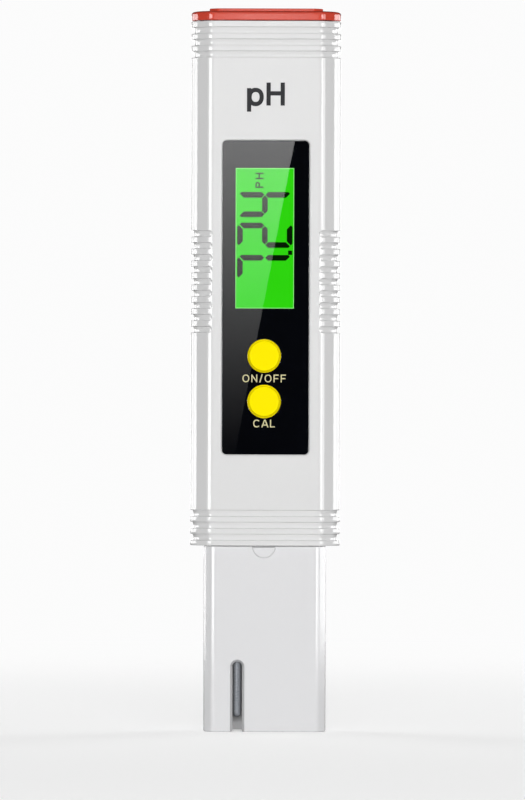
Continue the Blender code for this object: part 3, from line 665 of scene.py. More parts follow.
CERAMIC = moulded("porous_ceramic", (0.74, 0.71, 0.62), 0.85, grain=0.1, height=0.02, shift=0.15)
DARK_INK = moulded("dark_ink", (0.032, 0.032, 0.035), 0.5, shift=0.1, height=0.001,
                   Specular_IOR_Level=0.2)
CREAM_INK = moulded("cream_ink", (0.64, 0.59, 0.33), 0.6, shift=0.05, height=0.001)
SEGMENT_INK = moulded("segment_ink", (0.003, 0.006, 0.002), 0.5, shift=0.2, height=0.0005,
                      Specular_IOR_Level=0.0, Emission_Color=(0.0, 0.006, 0.0, 1.0),
                      Emission_Strength=1.0)
RUBBER = elastic("black_rubber_seal", (0.014, 0.014, 0.014))
STEEL = metal("plated_steel", (0.60, 0.60, 0.62), 0.26)
GILT = metal("contact_gilt", (0.78, 0.58, 0.24), 0.24, (8.0, 1.0, 1.0))
SILVER = metal("silver_wire", (0.72, 0.71, 0.68), 0.3)
SENSOR_STEEL = metal("sensor_steel", (0.30, 0.315, 0.345), 0.3, metallic=0.4)
ACRYLIC = clear("acrylic_cover", (1.0, 1.0, 1.0), 0.004, 1.46)
PROBE_GLASS = clear("probe_glass_blown", (0.93, 0.97, 0.98), 0.015, 1.5)
BOARD_GREEN = solder_mask("board_lacquer")
DISPLAY_GREEN = lit_display()
# Pale green glow for the frame round the display window: a painted highlight, not a lamp
DISPLAY_EDGE_PAINTED_GLOW = glowing("display_edge_glow", (0.20, 0.62, 0.16), 0.5)
WIRE = {slot: moulded(f"{slot}_sleeve", colour, 0.45, grain=0.4, shift=0.1) for slot, colour in (
    ("red_wire", (0.45, 0.012, 0.012)), ("black_wire", (0.012, 0.012, 0.012)),
    ("white_wire", (0.65, 0.65, 0.62)), ("blue_wire", (0.012, 0.04, 0.30)))}


# ---------------------------------------------------------------- housing

def groove_profile(foot, head):
    """(inset, height) line into a groove, up its floor, which leans out near the top, and out again."""
    corners = [(0, foot - 1), (0, foot), (GROOVE_DEPTH, foot), (GROOVE_DEPTH, (foot + head) / 2),
               (GROOVE_CORNER, head), (0, head), (0, head + 1)]
    radii = (EDGE_ROUND, EDGE_ROUND, FLOOR_ROUND, EDGE_ROUND, EDGE_ROUND)
    return rounded_profile(corners, radii)[1:-1]


def collar_profile(first_foot):
    feet = [first_foot + i * (GROOVE_HEIGHT + RIB_HEIGHT) for i in range(GROOVES_PER_COLLAR)]
    return [step for foot in feet for step in groove_profile(foot, foot + GROOVE_HEIGHT)]


def plain_ring(depth, height):
    return [upright(x, y, height) for x, y in body_outline(depth)]


def grip_ring(depth, rise, middle):
    """A ring that crosses one grip groove; the groove narrows and ends in a round on front and back."""
    half = GRIP_HEIGHT / 2
    ring = []
    for outside, inside in zip(body_outline(0), body_outline(GROOVE_DEPTH)):
        reach = (GRIP_INNER_X + half - abs(outside[0])) / half
        narrowing = 1.0 if reach <= 0 else math.sqrt(max(1 - reach * reach, GRIP_PINCH))
        ramp = min(max((abs(outside[0]) - GRIP_INNER_X) / GRIP_RAMP, 0), 1)
        share = depth / GROOVE_DEPTH * ramp * ramp * (3 - 2 * ramp)
        x, y = Vector(outside).lerp(Vector(inside), share)
        ring.append(upright(x, y, middle + rise * narrowing))
    return ring


def ribbed_housing(name):
    low = BODY.low.z
    high = BODY.high.z
    groove = groove_profile(-GRIP_HEIGHT / 2, GRIP_HEIGHT / 2)
    collar_height = GROOVES_PER_COLLAR * (GROOVE_HEIGHT + RIB_HEIGHT) - RIB_HEIGHT
    end = rounded_profile([(0.8, 0), (0, 0), (0, 1)], [EDGE_ROUND])[:-1]
    rings = [plain_ring(depth, low + rise) for depth, rise in end]
    rings += [plain_ring(*step) for step in collar_profile(low + LOWER_RIB_END)]
    for row in range(GRIP_COUNT):
        middle = GRIP_CENTRE_Z + (row - (GRIP_COUNT - 1) / 2) * GRIP_PITCH
        rings += [grip_ring(depth, rise, middle) for depth, rise in groove]
    rings += [plain_ring(*step) for step in collar_profile(high - UPPER_RIB_END - collar_height)]
    rings += [plain_ring(depth, high - rise) for depth, rise in reversed(end)]
    return skin(name, rings)


def hollow(shell):
    """Cut the cavity, the probe opening and everything past the seam."""
    name = shell.name
    front = name == "front_shell_skin"
    section = inset(chamfered(BODY.size.x, BODY.size.y, SIDE_CHAMFER_X, SIDE_CHAMFER_Y), WALL)
    cavity = prism(f"{name}_cavity", section, BODY.low.z + FLOOR_THICKNESS, BODY.high.z + 1)
    neck = prism(f"{name}_neck", chamfered(*NECK_OPENING), BODY.low.z - 1,
                 BODY.low.z + FLOOR_THICKNESS + 1)
    edge = SEAM_GAP / 2
    near, far = (-edge, CUT_REACH) if front else (-CUT_REACH, edge)
    other_half = prism(f"{name}_other_half", [(-CUT_REACH, near), (CUT_REACH, near), (CUT_REACH, far),
                                              (-CUT_REACH, far)], *CUT_HEIGHTS)
    carve(shell, cavity)
    carve(shell, neck)
    carve(shell, other_half)


def front_shell():
    shell = ribbed_housing("front_shell_skin")
    hollow(shell)
    depth = BODY.high.y
    inner = depth - WALL
    for nodes, radius, low, hole_radius, hole_low, floor_gap in FRONT_POSTS:
        for node in nodes:
            axis = extent(node).axis
            post(shell, axis, radius, low, inner + POST_BITE, frontward)
            bore(shell, axis, hole_radius, hole_low, inner - floor_gap, frontward)
    panel = (LENS.size.x + 2 * PANEL_FIT, LENS.size.z + 2 * PANEL_FIT, PANEL_CORNER, 8)
    carve(shell, soft_prism("pocket", lambda shrink: rounded_box(*panel, shrink),
                            lipped(depth - POCKET_DEPTH, depth - PRINT_THICKNESS, POCKET_LIP),
                            frontward, LENS.axis))
    carve(shell, prism("window", window_outline(WINDOW_CLEARANCE), inner - 1, depth + 1,
                       frontward, DISPLAY.axis))
    button_holes(shell, inner, depth)
    show(shell, WHITE, ["front_shell"], bevel=0)


def rear_shell():
    shell = ribbed_housing("rear_shell_skin")
    hollow(shell)
    depth = BODY.high.y
    for node in SHELL_SCREWS:
        axis = extent(node).axis
        post(shell, axis, *REAR_POST, depth - WALL + POST_BITE, rearward)
        bore(shell, axis, *REAR_HOLE, depth + 1, rearward)
        carve(shell, soft_prism("recess", lambda shrink: circle(RECESS_RADIUS - shrink, 96),
                                lipped(SCREW_SEAT, depth - PRINT_THICKNESS, RECESS_LIP),
                                rearward, axis))
    show(shell, WHITE, ["rear_shell"], bevel=0)


def button_holes(target, low, high):
    for button in BUTTONS.values():
        bore(target, button.axis, BUTTON_RADIUS + BUTTON_HOLE_GAP, low - 1, high + 1, frontward)


def window_outline(extra):
    return rectangle(WINDOW_WIDTH + extra, WINDOW_HEIGHT + extra)


def post(shell, axis, radius, low, high, place):
    weld(shell, prism("post", circle(radius, 48), low, high, place, axis))


def bore(shell, axis, radius, low, high, place):
    carve(shell, prism("bore", circle(radius, 96), low, high, place, axis))


# ---------------------------------------------------------------- panel, display and buttons

def face_lens():
    outline = rounded_box(LENS.size.x, LENS.size.z, PANEL_CORNER - PANEL_FIT, 6)
    lens = prism("clear_cover", outline, -LENS.high.y, -LENS.low.y, frontward, LENS.axis)
    button_holes(lens, -LENS.high.y, -LENS.low.y)
    finish_mesh(lens, 0.08)
    lens.modifiers.remove(lens.modifiers["flat_faces"])
    lens.data.shade_flat()
    lens.visible_shadow = False
    show(lens, ACRYLIC, ["face_lens"])


def display():
    low = -DISPLAY.high.y
    high = -DISPLAY.low.y
    glass = soft_prism("display_glass", lambda d: inset(rectangle(DISPLAY.size.x, DISPLAY.size.z), d),
                       eased(low, high, 0.15), frontward, DISPLAY.axis)
    show(glass, DISPLAY_GREEN, ["lcd_glass"], bevel=0)

    front = -MASK.high.y
    # A thin glowing frame just inside the window edge paints a bright line round the display; it is a
    # painted highlight, not a lamp
    rim = prism("display_rim", window_outline(RIM_REACH), front - RIM_DEPTH, front - 0.03,
                frontward, DISPLAY.axis)
    carve(rim, prism("rim_opening", window_outline(-2 * RIM_WIDTH), front - 2, front + 2,
                     frontward, DISPLAY.axis))
    show(rim, DISPLAY_EDGE_PAINTED_GLOW, bevel=0.05)

    segments = [segment(across, *BARS[bar]) for digit, across in zip("724", DIGIT_CENTRES)
                for bar in LIT[digit]]
    segments.append(rectangle(*POINT_SIZE, POINT_ACROSS, POINT_UP))
    digits = skin("display_digits", *([[display_point(u, v, depth) for u, v in outline]
                                       for depth in (high, high + PRINT_THICKNESS)]
                                      for outline in segments))
    show(digits, SEGMENT_INK)


def display_point(along, up, depth):
    """The display is read along the meter: along runs up the body, up points to the left."""
    return (DISPLAY.centre.x - up, -depth, along)


def segment(across, start, end, outward):
    """Outline of one bar: mitred at the corners of the digit, pointed in the middle of its sides."""
    size = Vector((DIGIT_HALF_WIDTH, DIGIT_HALF_HEIGHT))
    middle = Vector((across, 0))
    along = (Vector(end) - Vector(start)).normalized()
    half = SEGMENT_WIDTH / 2
    out = Vector(outward) * half

    def bar_end(corner, onward):
        joint = middle + Vector(corner) * size
        if corner[1] == 0:
            tip = joint - onward * SEGMENT_GAP
            return [tip + out - onward * half, tip, tip - out - onward * half]
        tip = joint + onward * SEGMENT_REACH
        return [tip + out - onward * half * (1 - TIP_SHIFT), tip + out * TIP_SHIFT,
                tip - out - onward * half * (1 + TIP_SHIFT)]
    return bar_end(start, -along) + list(reversed(bar_end(end, along)))


def buttons():
    skirt_foot, skirt_top = (BODY.high.y - WALL - gap for gap in BUTTON_SKIRT_GAPS)
    for label, button in BUTTONS.items():
        face = -button.low.y
        stem_end = -button.high.y
        dish = [(radius, face - BUTTON_DISH * (1 - (radius / BUTTON_DISH_RADII[0]) ** 2))
                for radius in BUTTON_DISH_RADII]
        edge = [(BUTTON_RADIUS - BUTTON_ROUND * (1 - math.cos(a)),
                 face - BUTTON_ROUND * (1 - math.sin(a))) for a in (i * math.pi / 12 for i in range(7))]
        profile = [(0, stem_end), (BUTTON_STEM_RADIUS, stem_end), (BUTTON_STEM_RADIUS, skirt_foot),
                   (BUTTON_SKIRT_RADIUS, skirt_foot), (BUTTON_SKIRT_RADIUS, skirt_top),
                   (BUTTON_RADIUS, skirt_top), *edge, *dish]
        key = turned(f"{label}_key", profile, frontward, button.axis, 96)
        show(key, YELLOW, [f"{label}_button"], f"{label}_button", 0.06)


def stroke(name, points, thickness, place, closed=False):
    """One stroke of a letter as a thin film, mitred where it turns."""
    rings = []
    count = len(points)
    for i, point in enumerate(points):
        here = Vector(point)
        before = Vector(points[i - 1]) if closed or i else None
        after = Vector(points[(i + 1) % count]) if closed or i < count - 1 else None
        edge_in = (here - before).normalized() if before else (after - here).normalized()
        edge_out = (after - here).normalized() if after else edge_in
        side = mitre(edge_in, edge_out, thickness / 2)
        rings.append([place(*(here + side), 0), place(*(here - side), 0),
                      place(*(here - side), PRINT_THICKNESS), place(*(here + side), PRINT_THICKNESS)])
    return skin(name, rings, loop=closed)


def oval(x, y, half_width, half_height, start=0, end=360, steps=32):
    """Points of a slightly squared oval from one angle to another."""
    points = []
    for i in range(steps + 1):
        a = math.radians(start + (end - start) * i / steps)
        points.append((x + half_width * math.copysign(abs(math.cos(a)) ** 0.9, math.cos(a)),
                       y + half_height * math.copysign(abs(math.sin(a)) ** 0.9, math.sin(a))))
    return points


def glyph(letter, thick):
    """Width, open strokes and closed strokes of a letter whose capitals are 1 high."""
    t = thick / 2
    top = 1 - t

    def bar(x):
        return [(x, 0), (x, 1)]
    return {
        "H": (0.80, [bar(t), bar(0.80 - t), [(t, 0.53), (0.80 - t, 0.53)]], []),
        "P": (0.74, [bar(t), [(t, top), *oval(0.43, 0.72, 0.31 - t, 0.28 - t, 90, -90, 16),
                              (t, 0.44 + t)]], []),
        "p": (0.73, [[(t, -0.27), (t, 0.755)]], [oval(0.375, 0.37, 0.355 - t, 0.40 - t)[:-1]]),
        "O": (0.88, [], [oval(0.44, 0.5, 0.44 - t, 0.5 - t)[:-1]]),
        "C": (0.84, [oval(0.44, 0.5, 0.44 - t, 0.5 - t, 40, 320)], []),
        "N": (0.76, [bar(t), bar(0.76 - t), [(t, top), (0.76 - t, t)]], []),
        "F": (0.66, [bar(t), [(t, top), (0.66, top)], [(t, 0.48), (0.60, 0.48)]], []),
        "A": (0.92, [[(t, 0), (0.46 - t / 3, 1)], [(0.92 - t, 0), (0.46 + t / 3, 1)],
                     [(0.22, 0.30), (0.70, 0.30)]], []),
        "L": (0.62, [[(t, 1), (t, 0)], [(t, t), (0.62, t)]], []),
        "/": (0.42, [[(0.05, -0.04), (0.37, 1.04)]], []),
    }[letter]


def lettering(name, words, width, cap_height, thick, place, ink):
    """Generic words printed as a thin film, in plain strokes, spread to a given width."""
    glyphs = [glyph(letter, thick) for letter in words]
    gap = (width / cap_height - sum(wide for wide, *_ in glyphs)) / (len(words) - 1)
    strokes = []
    start = -width / 2
    for wide, *lines in glyphs:
        for closed, group in enumerate(lines):
            for points in group:
                placed = [(start + x * cap_height, (y - 0.5) * cap_height) for x, y in points]
                strokes.append(stroke(name, placed, thick * cap_height, place, bool(closed)))
        start += (wide + gap) * cap_height
    film = strokes[0]
    weld(film, *strokes[1:])
    film.data.shade_flat()
    show(film, ink)


def labels():
    for label, (words, width, drop) in LABELS.items():
        middle = Vector((BUTTONS[label].centre.x, LENS.low.y, BUTTONS[label].centre.z - drop))
        lettering(f"{label}_label", words, width, LABEL_HEIGHT, 0.135,
                  lambda x, y, lift: frontward(x, y, lift, middle), CREAM_INK)
    middle = Vector((TITLE_X, BODY.low.y + PRINT_THICKNESS, TITLE_Z))
    lettering("title", "pH", TITLE_WIDTH, TITLE_HEIGHT, 0.185,
              lambda x, y, lift: frontward(x, y, lift, middle), DARK_INK)
    lettering("unit", "PH", UNIT_WIDTH, UNIT_HEIGHT, 0.18,
              lambda x, y, lift: display_point(UNIT_ACROSS + x, UNIT_UP + y, lift - DISPLAY.low.y),
              SEGMENT_INK)


# ---------------------------------------------------------------- cap and batteries

def battery_cap():
    base = BODY.high.z + CAP_GAP
    top = CAP.high.z
    cap = soft_prism("cap_skin", body_outline,
                     [(1.0, base), (0.12, base), (0.04, base + 0.04), (0, base + 0.12),
                      *((depth, top - drop) for depth, drop in CAP_CROWN)])

    def plateau(depth):
        corners = chamfered(PLATEAU_WIDTH, PLATEAU_DEPTH, 1.6, 1.6)
        return rounded(inset(corners, depth), [max(0.9 - depth, 0.1)], 4)
    weld(cap, soft_prism("cap_plateau", plateau, [(0, top - 1.0), (0, top - 0.16), (0.03, top - 0.07),
                                                  (0.1, top - 0.02), (0.2, top)]))
    low = CAP.low.z
    seat = SEAL_RADIUS + 0.15
    middle = SEAL.centre.z
    weld(cap, soft_prism("cap_plug", lambda d: rounded_box(PLUG_WIDTH, PLUG_DEPTH, PLUG_CORNER, 10, d),
                         [(0.5, low), (0.15, low + 0.1), (0, low + 0.45), (0, middle - seat),
                          (0.7, middle - seat), (0.7, middle + seat), (0, middle + seat),
                          (0, base + 0.4)]))
    show(cap, RED, ["battery_cap"], "battery_cap", 0.05)

    centre_line = rounded_box(SEAL.size.x - 2 * SEAL_RADIUS, SEAL.size.y - 2 * SEAL_RADIUS,
                              PLUG_CORNER - 0.2, 10)
    rings = [[upright(x, y, middle + SEAL_RADIUS * math.sin(a))
              for x, y in inset(centre_line, -SEAL_RADIUS * math.cos(a))]
             for a in (2 * math.pi * i / 16 for i in range(16))]
    seal = skin("cap_seal_ring", rings, loop=True)
    show(seal, RUBBER, ["cap_seal"], "battery_cap")

    bridge = extent("cap_contact_bridge")
    plate = soft_prism("contact_plate", lambda d: rounded_box(bridge.size.x, bridge.size.y, 2.2, 8, d),
                       eased(bridge.low.z, bridge.high.z, 0.05))
    show(plate, GILT, ["cap_contact_bridge"], "battery_cap", 0)


def battery_bay():
    bay = extent("battery_holder")
    cells = [extent(f"battery_cell_{number}") for number in range(1, 5)]
    holder = soft_prism("battery_bay", lambda d: rounded_box(bay.size.x, bay.size.y, 4.4, 10, d),
                        [(0.3, bay.low.z), (0, bay.low.z + 0.3), (0, bay.high.z - 0.1),
                         (0.1, bay.high.z)])
    socket = (PLUG_WIDTH + 0.5, PLUG_DEPTH + 0.9, PLUG_CORNER + 0.2, 10)
    carve(holder, soft_prism("socket_cut", lambda d: rounded_box(*socket, -d),
                             [(0, SOCKET_BOTTOM), (0, bay.high.z - 0.35), (0.35, bay.high.z),
                              (0.35, bay.high.z + 1)]))
    for cell in (cells[0], cells[2]):
        axis = (cell.centre.x, 0, 0)
        bore(holder, axis, WELL_RADIUS, bay.low.z + 1.2, bay.high.z + 1, upright)
        bore(holder, axis, 0.8, bay.low.z - 1, bay.low.z + 2, upright)
    show(holder, GREY, ["battery_holder"], bevel=0)

    for number, cell in enumerate(cells, 1):
        radius = cell.size.x / 2
        foot = cell.low.z
        head = cell.high.z
        profile = [(0, foot), *stepped(CELL_FOOT, radius, foot), *stepped(CELL_HEAD, radius, head),
                   (0, head - 0.05)]
        can = turned(f"button_cell_{number}", profile, upright, (cell.centre.x, 0, 0), 96)
        show(can, STEEL, [f"battery_cell_{number}"], bevel=0)


def shell_screws():
    for node in SHELL_SCREWS:
        screw = extent(node)
        tip = -screw.low.y
        under = screw.high.y - SCREW_HEAD_HEIGHT
        thread = []
        for turn in range(THREAD_TURNS):
            start = -tip + 1.0 + turn * THREAD_PITCH
            thread += [(0.62, start), (0.8, start + 0.21)]
        profile = [(0, -tip), (0.4, -tip), *thread, (0.62, under),
                   *stepped(SCREW_HEAD, screw.size.x / 2, under), (0, under + SCREW_HEAD_HEIGHT)]
        fixing = turned(f"{node}_threaded", profile, rearward, screw.axis, 64)
        for width, height in (SCREW_CROSS, SCREW_CROSS[::-1]):
            cross = soft_prism("cross", lambda d: rectangle(width - 2 * d, height - 2 * d),
                               [(0.15, under + 0.5), (0, under + 2)], rearward, screw.axis)
            carve(fixing, cross)
        show(fixing, STEEL, [node], bevel=0.03)


# ---------------------------------------------------------------- probe

def probe_outline(depth=0.0):
    corners = chamfered(PROBE.size.x, PROBE_DEPTH, PROBE_CHAMFER, PROBE_CHAMFER)
    return rounded(inset(corners, depth), [max(PROBE_EDGE_RADIUS - depth, 0.1)], 5)


def probe():
    collar = BODY.low.z - COLLAR_GAP
    front = PROBE_DEPTH / 2
    top = PROBE.high.z
    bulb = extent("electrode_bulb")
    sensor = extent("temperature_sensor")
    junction = extent("reference_junction")
    outer = soft_prism("probe_skin", probe_outline, [(0.35, 0), (0.12, 0.06), (0, 0.3),
                                                     (0, collar - 0.1), (0.1, collar)])
    weld(outer, prism("neck", chamfered(*NECK), collar - 1, top - 1))
    weld(outer, prism("flange", chamfered(*FLANGE), top - FLANGE_THICKNESS, top))
    arc = [(KEY_RADIUS * math.cos(a), KEY_RADIUS * math.sin(a)) for a in
           (math.pi + math.pi * i / 40 for i in range(41))]
    weld(outer, soft_prism("key_boss", lambda d: inset(arc, d),
                           [(0, front - 1), (0, front + KEY_RISE - 0.3), (0.25, front + KEY_RISE)],
                           frontward, (KEY_X, 0, collar)))
    wall = chamfered(PROBE.size.x, PROBE_DEPTH, PROBE_CHAMFER, PROBE_CHAMFER)
    carve(outer, prism("chamber", rounded(inset(wall, PROBE_WALL), [0.8], 4), -1, CHAMBER_TOP))
    for node, fit in ((bulb, BULB_BORE), (sensor, SENSOR_BORE), (junction, JUNCTION_BORE)):
        bore(outer, (node.centre.x, node.centre.y, 0), fit, CHAMBER_TOP - 2, top + 1, upright)
    bore(outer, (bulb.centre.x, 0, 0), BUSHING_BORE, CHAMBER_TOP - 1, CHAMBER_TOP + 4, upright)
    for flare, back, ahead in ((0, 3, 1), (2 * SLOT_BEVEL, SLOT_BEVEL_DEPTH, SLOT_BEVEL_DEPTH)):
        rings = [[frontward(x, y, depth, (sensor.centre.x, 0, 0)) for x, y in slot_outline(half)]
                 for half, depth in ((SLOT_WIDTH / 2, front - back),
                                     (SLOT_WIDTH / 2 + flare, front + ahead))]
        carve(outer, skin("slot", rings))
    show(outer, PROBE_WHITE, ["probe_housing"], bevel=0)


def slot_outline(half):
    top = SLOT_TOP - SLOT_WIDTH / 2
    arc = [(half * math.cos(a), top + half * math.sin(a))
           for a in (math.pi * i / 32 for i in range(33))]
    return [*arc, (-half, -2), (half, -2)]


def electrode():
    bulb = extent("electrode_bulb")
    stem = extent("electrode_stem")
    axis = (bulb.centre.x, 0, 0)
    radius = bulb.size.x / 2
    middle = bulb.low.z + radius
    stem_radius = stem.size.x / 2
    top_angle = math.acos((stem_radius - 0.05) / radius)
    angles = [-math.pi / 2 + (top_angle + math.pi / 2) * i / 20 for i in range(21)]
    outer = [(radius * math.cos(a), middle + radius * math.sin(a)) for a in angles]
    inner = [((radius - BULB_WALL) * math.cos(a), middle + (radius - BULB_WALL) * math.sin(a))
             for a in reversed(angles)]
    outer[0] = (0, bulb.low.z)
    inner[-1] = (0, bulb.low.z + BULB_WALL)
    blown = turned("blown_bulb", [*outer, *inner], upright, axis, 64)
    show(blown, PROBE_GLASS, ["electrode_bulb"], bevel=0)

    low = stem.low.z
    high = stem.high.z
    ends = eased(low, high, 0.1)
    tube = turned("stem_tube", [*((stem_radius - d, z) for d, z in ends),
                                *((STEM_BORE + d, z) for d, z in reversed(ends))], upright, axis, 64)
    show(tube, PROBE_GLASS, ["electrode_stem"], bevel=0)

    bushing = extent("electrode_bushing")
    outside = bushing.size.x / 2
    inside = stem_radius + 0.12
    lips = [point for lip in range(BUSHING_LIPS)
            for point in stepped(BUSHING_LIP, outside, bushing.low.z + 0.3 + lip * BUSHING_PITCH)]
    sleeve = turned("ribbed_bushing", [(inside, bushing.low.z), (outside - 0.35, bushing.low.z), *lips,
                                       (outside - 0.35, bushing.high.z), (inside, bushing.high.z)],
                    upright, axis, 64)
    show(sleeve, RUBBER, ["electrode_bushing"], bevel=0.05)

    plug = extent("reference_junction")
    wide = plug.size.x / 2
    stopper = turned("ceramic_plug", [(0, plug.low.z), (wide - 0.25, plug.low.z),
                                      (wide, plug.low.z + 0.25), (wide, plug.high.z), (0, plug.high.z)],
                     upright, (plug.centre.x, 0, 0), 48)
    show(stopper, CERAMIC, ["reference_junction"], bevel=0.05)

    sensor = extent("temperature_sensor")
    thick = sensor.size.x / 2
    dome = [(thick * math.sin(a), sensor.low.z + thick * (1 - math.cos(a))) for a in
            (i * math.pi / 16 for i in range(1, 9))]
    rod = turned("sensor_rod", [(0, sensor.low.z), *dome, (thick, sensor.high.z), (0, sensor.high.z)],
                 upright, (sensor.centre.x, sensor.centre.y, 0), 48)
    show(rod, SENSOR_STEEL, ["temperature_sensor"], bevel=0)


# ---------------------------------------------------------------- kept CAD nodes

def dress_kept_nodes():
    finishes = {
        MASK_BLACK: ["face_mask"],
        LIGHT_GUIDE: ["lcd_backlight"],
        GREY: ["lcd_frame", "power_switch", "cal_switch"],
        RUBBER: ["zebra_strip", "probe_gasket"],
        SWITCH_BLACK: ["power_plunger", "cal_plunger"],
        BOARD_GREEN: ["main_board"],
        RESIN: ["controller_chip", "amplifier_chip"],
        CERAMIC: ["filter_capacitor"],
        STEEL: ["crystal_can", "board_screw_1", "board_screw_2", "board_screw_3", "board_screw_4",
                "battery_spring_1", "battery_spring_2"],
        SILVER: ["electrode_wire", "reference_wire"],
        WIRE["red_wire"]: ["battery_lead_positive"],
        WIRE["black_wire"]: ["battery_lead_negative"],
        WIRE["white_wire"]: ["electrode_lead"],
        WIRE["blue_wire"]: ["sensor_lead"],
    }
    for finish, names in finishes.items():
        for name in names:
            for held in bpy.data.objects[name].material_slots:
                held.material = finish


# ---------------------------------------------------------------- studio

def floor():
    builder = bmesh.new()
    bmesh.ops.create_grid(builder, x_segments=2, y_segments=2, size=FLOOR_HALF_SIZE)
    ground = object_from("floor", builder)
    ground.data.materials.append(floor_finish())


def floor_finish():
    """Matt pale paper near the meter that fades into the colour of the backdrop."""
    made = bpy.data.materials.new("studio_paper")
    made.use_nodes = True
    tree = made.node_tree
    paper = tree.nodes["Principled BSDF"]
    paper.inputs["Base Color"].default_value = (0.6, 0.6, 0.6, 1)
    paper.inputs["Roughness"].default_value = 0.8
    paper.inputs["Specular IOR Level"].default_value = 0.1
    paper.inputs["Emission Color"].default_value = (1, 1, 1, 1)
    seen = add_node(tree, "LightPath").outputs["Is Camera Ray"]
    lift = add_node(tree, "MapRange", To_Max=FLOOR_LIFT)
    spill = add_node(tree, "MapRange", To_Min=FLOOR_SPILL)
    glow = add_node(tree, "Emission", Color=(BACKDROP, BACKDROP, BACKDROP, 1))
    length = tree.nodes.new("ShaderNodeVectorMath")
    length.operation = "LENGTH"
    fade = add_node(tree, "MapRange", From_Min=FADE_START, From_Max=FADE_END)
    fade.interpolation_type = "SMOOTHERSTEP"
    blend = add_node(tree, "MixShader")
    chain(tree, seen, lift.inputs["Value"], lift.outputs["Result"], paper.inputs["Emission Strength"],
          seen, spill.inputs["Value"], spill.outputs["Result"], glow.inputs["Strength"],
          add_node(tree, "TexCoord").outputs["Object"], length.inputs[0],
          length.outputs["Value"], fade.inputs["Value"], fade.outputs["Result"], blend.inputs["Fac"],
          paper.outputs[0], blend.inputs[1], glow.outputs[0], blend.inputs[2],
          blend.outputs[0], tree.nodes["Material Output"].inputs["Surface"])
    return made


def backdrop():
    """A pale world for the camera that lights the meter only a little."""
    world = bpy.data.worlds.new("studio")
    bpy.context.scene.world = world
    world.use_nodes = True
    tree = world.node_tree
    seen = tree.nodes["Background"]
    seen.inputs["Color"].default_value = (BACKDROP, BACKDROP, BACKDROP, 1)
    ambient = add_node(tree, "Background", Color=(AMBIENT, AMBIENT, AMBIENT, 1))
    blend = add_node(tree, "MixShader")
    chain(tree, add_node(tree, "LightPath").outputs["Is Camera Ray"], blend.inputs["Fac"],
          ambient.outputs[0], blend.inputs[1], seen.outputs[0], blend.inputs[2],
          blend.outputs[0], tree.nodes["World Output"].inputs["Surface"])


def softbox(name, lights, azimuth, elevation, distance, width, height, radiance):
    """An area light aimed at the middle of the meter; azimuth 0 is the camera's side."""
    light = bpy.data.lights.new(name, "AREA")
    light.shape = "RECTANGLE"
    light.size = width
    light.size_y = height
    light.energy = radiance * math.pi * width * height
    lamp = bpy.data.objects.new(name, light)
    bpy.context.scene.collection.objects.link(lamp)
    target = Vector((0, 0, (BODY.high.z + PROBE.low.z) / 2 * MM))
    a = math.radians(azimuth)
    e = math.radians(elevation)
    away = Vector((math.sin(a) * math.cos(e), -math.cos(a) * math.cos(e), math.sin(e)))
    lamp.location = target + away * distance
    lamp.rotation_euler = away.to_track_quat("Z", "Y").to_euler()
    lamp.visible_camera = False
    lamp.visible_diffuse = lights != "gloss"
    lamp.visible_glossy = lights != "matt"
    lamp.visible_transmission = False


def studio():
    floor()
    backdrop()
    for settings in SOFTBOXES:
        softbox(*settings)
    reflection_cards()


def reflection_cards():
    """Sheets behind the camera: the clear cover mirrors one as a diagonal sheen, the cap the other."""
    low = LENS.low.z
    high = LENS.high.z
    foot = CARD_CORNER_X - CARD_SLOPE * (high - low)
    glow_card("cover_card", [(LENS.low.x, low), (foot, low), (CARD_CORNER_X, high), (LENS.low.x, high)],
              *CARD_GLOW)
    top = CAP.high.z
    edge = BODY.high.x - SIDE_CHAMFER_X
    glow_card("cap_card", rectangle(2 * edge, 2 * CAP_CARD_MARGIN, 0, top),
              CAP_CARD_GLOW, CAP_CARD_GLOW)
    glow_card("dark_flag", rectangle(2 * FLAG_HALF_SIZE, 2 * FLAG_HALF_SIZE, 0, LENS.centre.z),
              0.0, 0.0, 0.01)


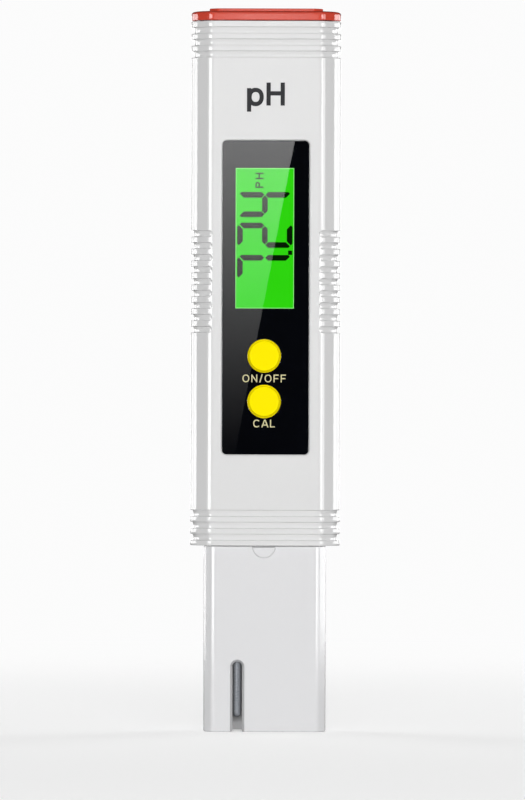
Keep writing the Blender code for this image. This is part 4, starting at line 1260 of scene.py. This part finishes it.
def glow_card(name, seen_at, low_glow, high_glow, behind=0.0):
    """A sheet that fills the mirror image of a flat outline on the front of the meter."""
    eye = bpy.context.scene.camera.location
    spread = 1 + CARD_DISTANCE / CAMERA_DISTANCE
    corners = [(eye.x + (x * MM - eye.x) * spread, -CARD_DISTANCE - behind,
                eye.z + (z * MM - eye.z) * spread) for x, z in seen_at]
    builder = bmesh.new()
    builder.faces.new([builder.verts.new(corner) for corner in corners])
    card = object_from(name, builder)
    finish = bpy.data.materials.new(f"{name}_glow")
    finish.use_nodes = True
    tree = finish.node_tree
    tree.nodes.remove(tree.nodes["Principled BSDF"])
    heights = [corner[2] for corner in corners]
    split = add_node(tree, "SeparateXYZ")
    ramp = add_node(tree, "MapRange", From_Min=min(heights), From_Max=max(heights))
    curve = tree.nodes.new("ShaderNodeMath")
    curve.operation = "POWER"
    curve.inputs[1].default_value = CARD_FALL
    level = add_node(tree, "MapRange", To_Min=low_glow, To_Max=high_glow)
    glow = add_node(tree, "Emission")
    chain(tree, add_node(tree, "TexCoord").outputs["Object"], split.inputs[0],
          split.outputs["Z"], ramp.inputs["Value"], ramp.outputs["Result"], curve.inputs[0],
          curve.outputs[0], level.inputs["Value"], level.outputs["Result"], glow.inputs["Strength"],
          glow.outputs[0], tree.nodes["Material Output"].inputs["Surface"])
    card.data.materials.append(finish)
    card.visible_camera = False
    card.visible_diffuse = False
    card.visible_shadow = False


def camera():
    lens = bpy.data.cameras.new("camera")
    lens.lens = 36.0 * CAMERA_DISTANCE / FRAME_HEIGHT
    lens.clip_start = 0.01
    lens.clip_end = 50.0
    viewer = bpy.data.objects.new("camera", lens)
    bpy.context.scene.collection.objects.link(viewer)
    level = Matrix.Rotation(math.pi / 2, 4, "X") @ Matrix.Rotation(math.radians(CAMERA_ROLL), 4, "Z")
    viewer.matrix_world = Matrix.Translation((CAMERA_X, -CAMERA_DISTANCE, CAMERA_HEIGHT)) @ level
    bpy.context.scene.camera = viewer
    bpy.context.scene.view_settings.view_transform = "Standard"


camera()
front_shell()
rear_shell()
face_lens()
display()
buttons()
labels()
battery_cap()
battery_bay()
shell_screws()
probe()
electrode()
dress_kept_nodes()
studio()
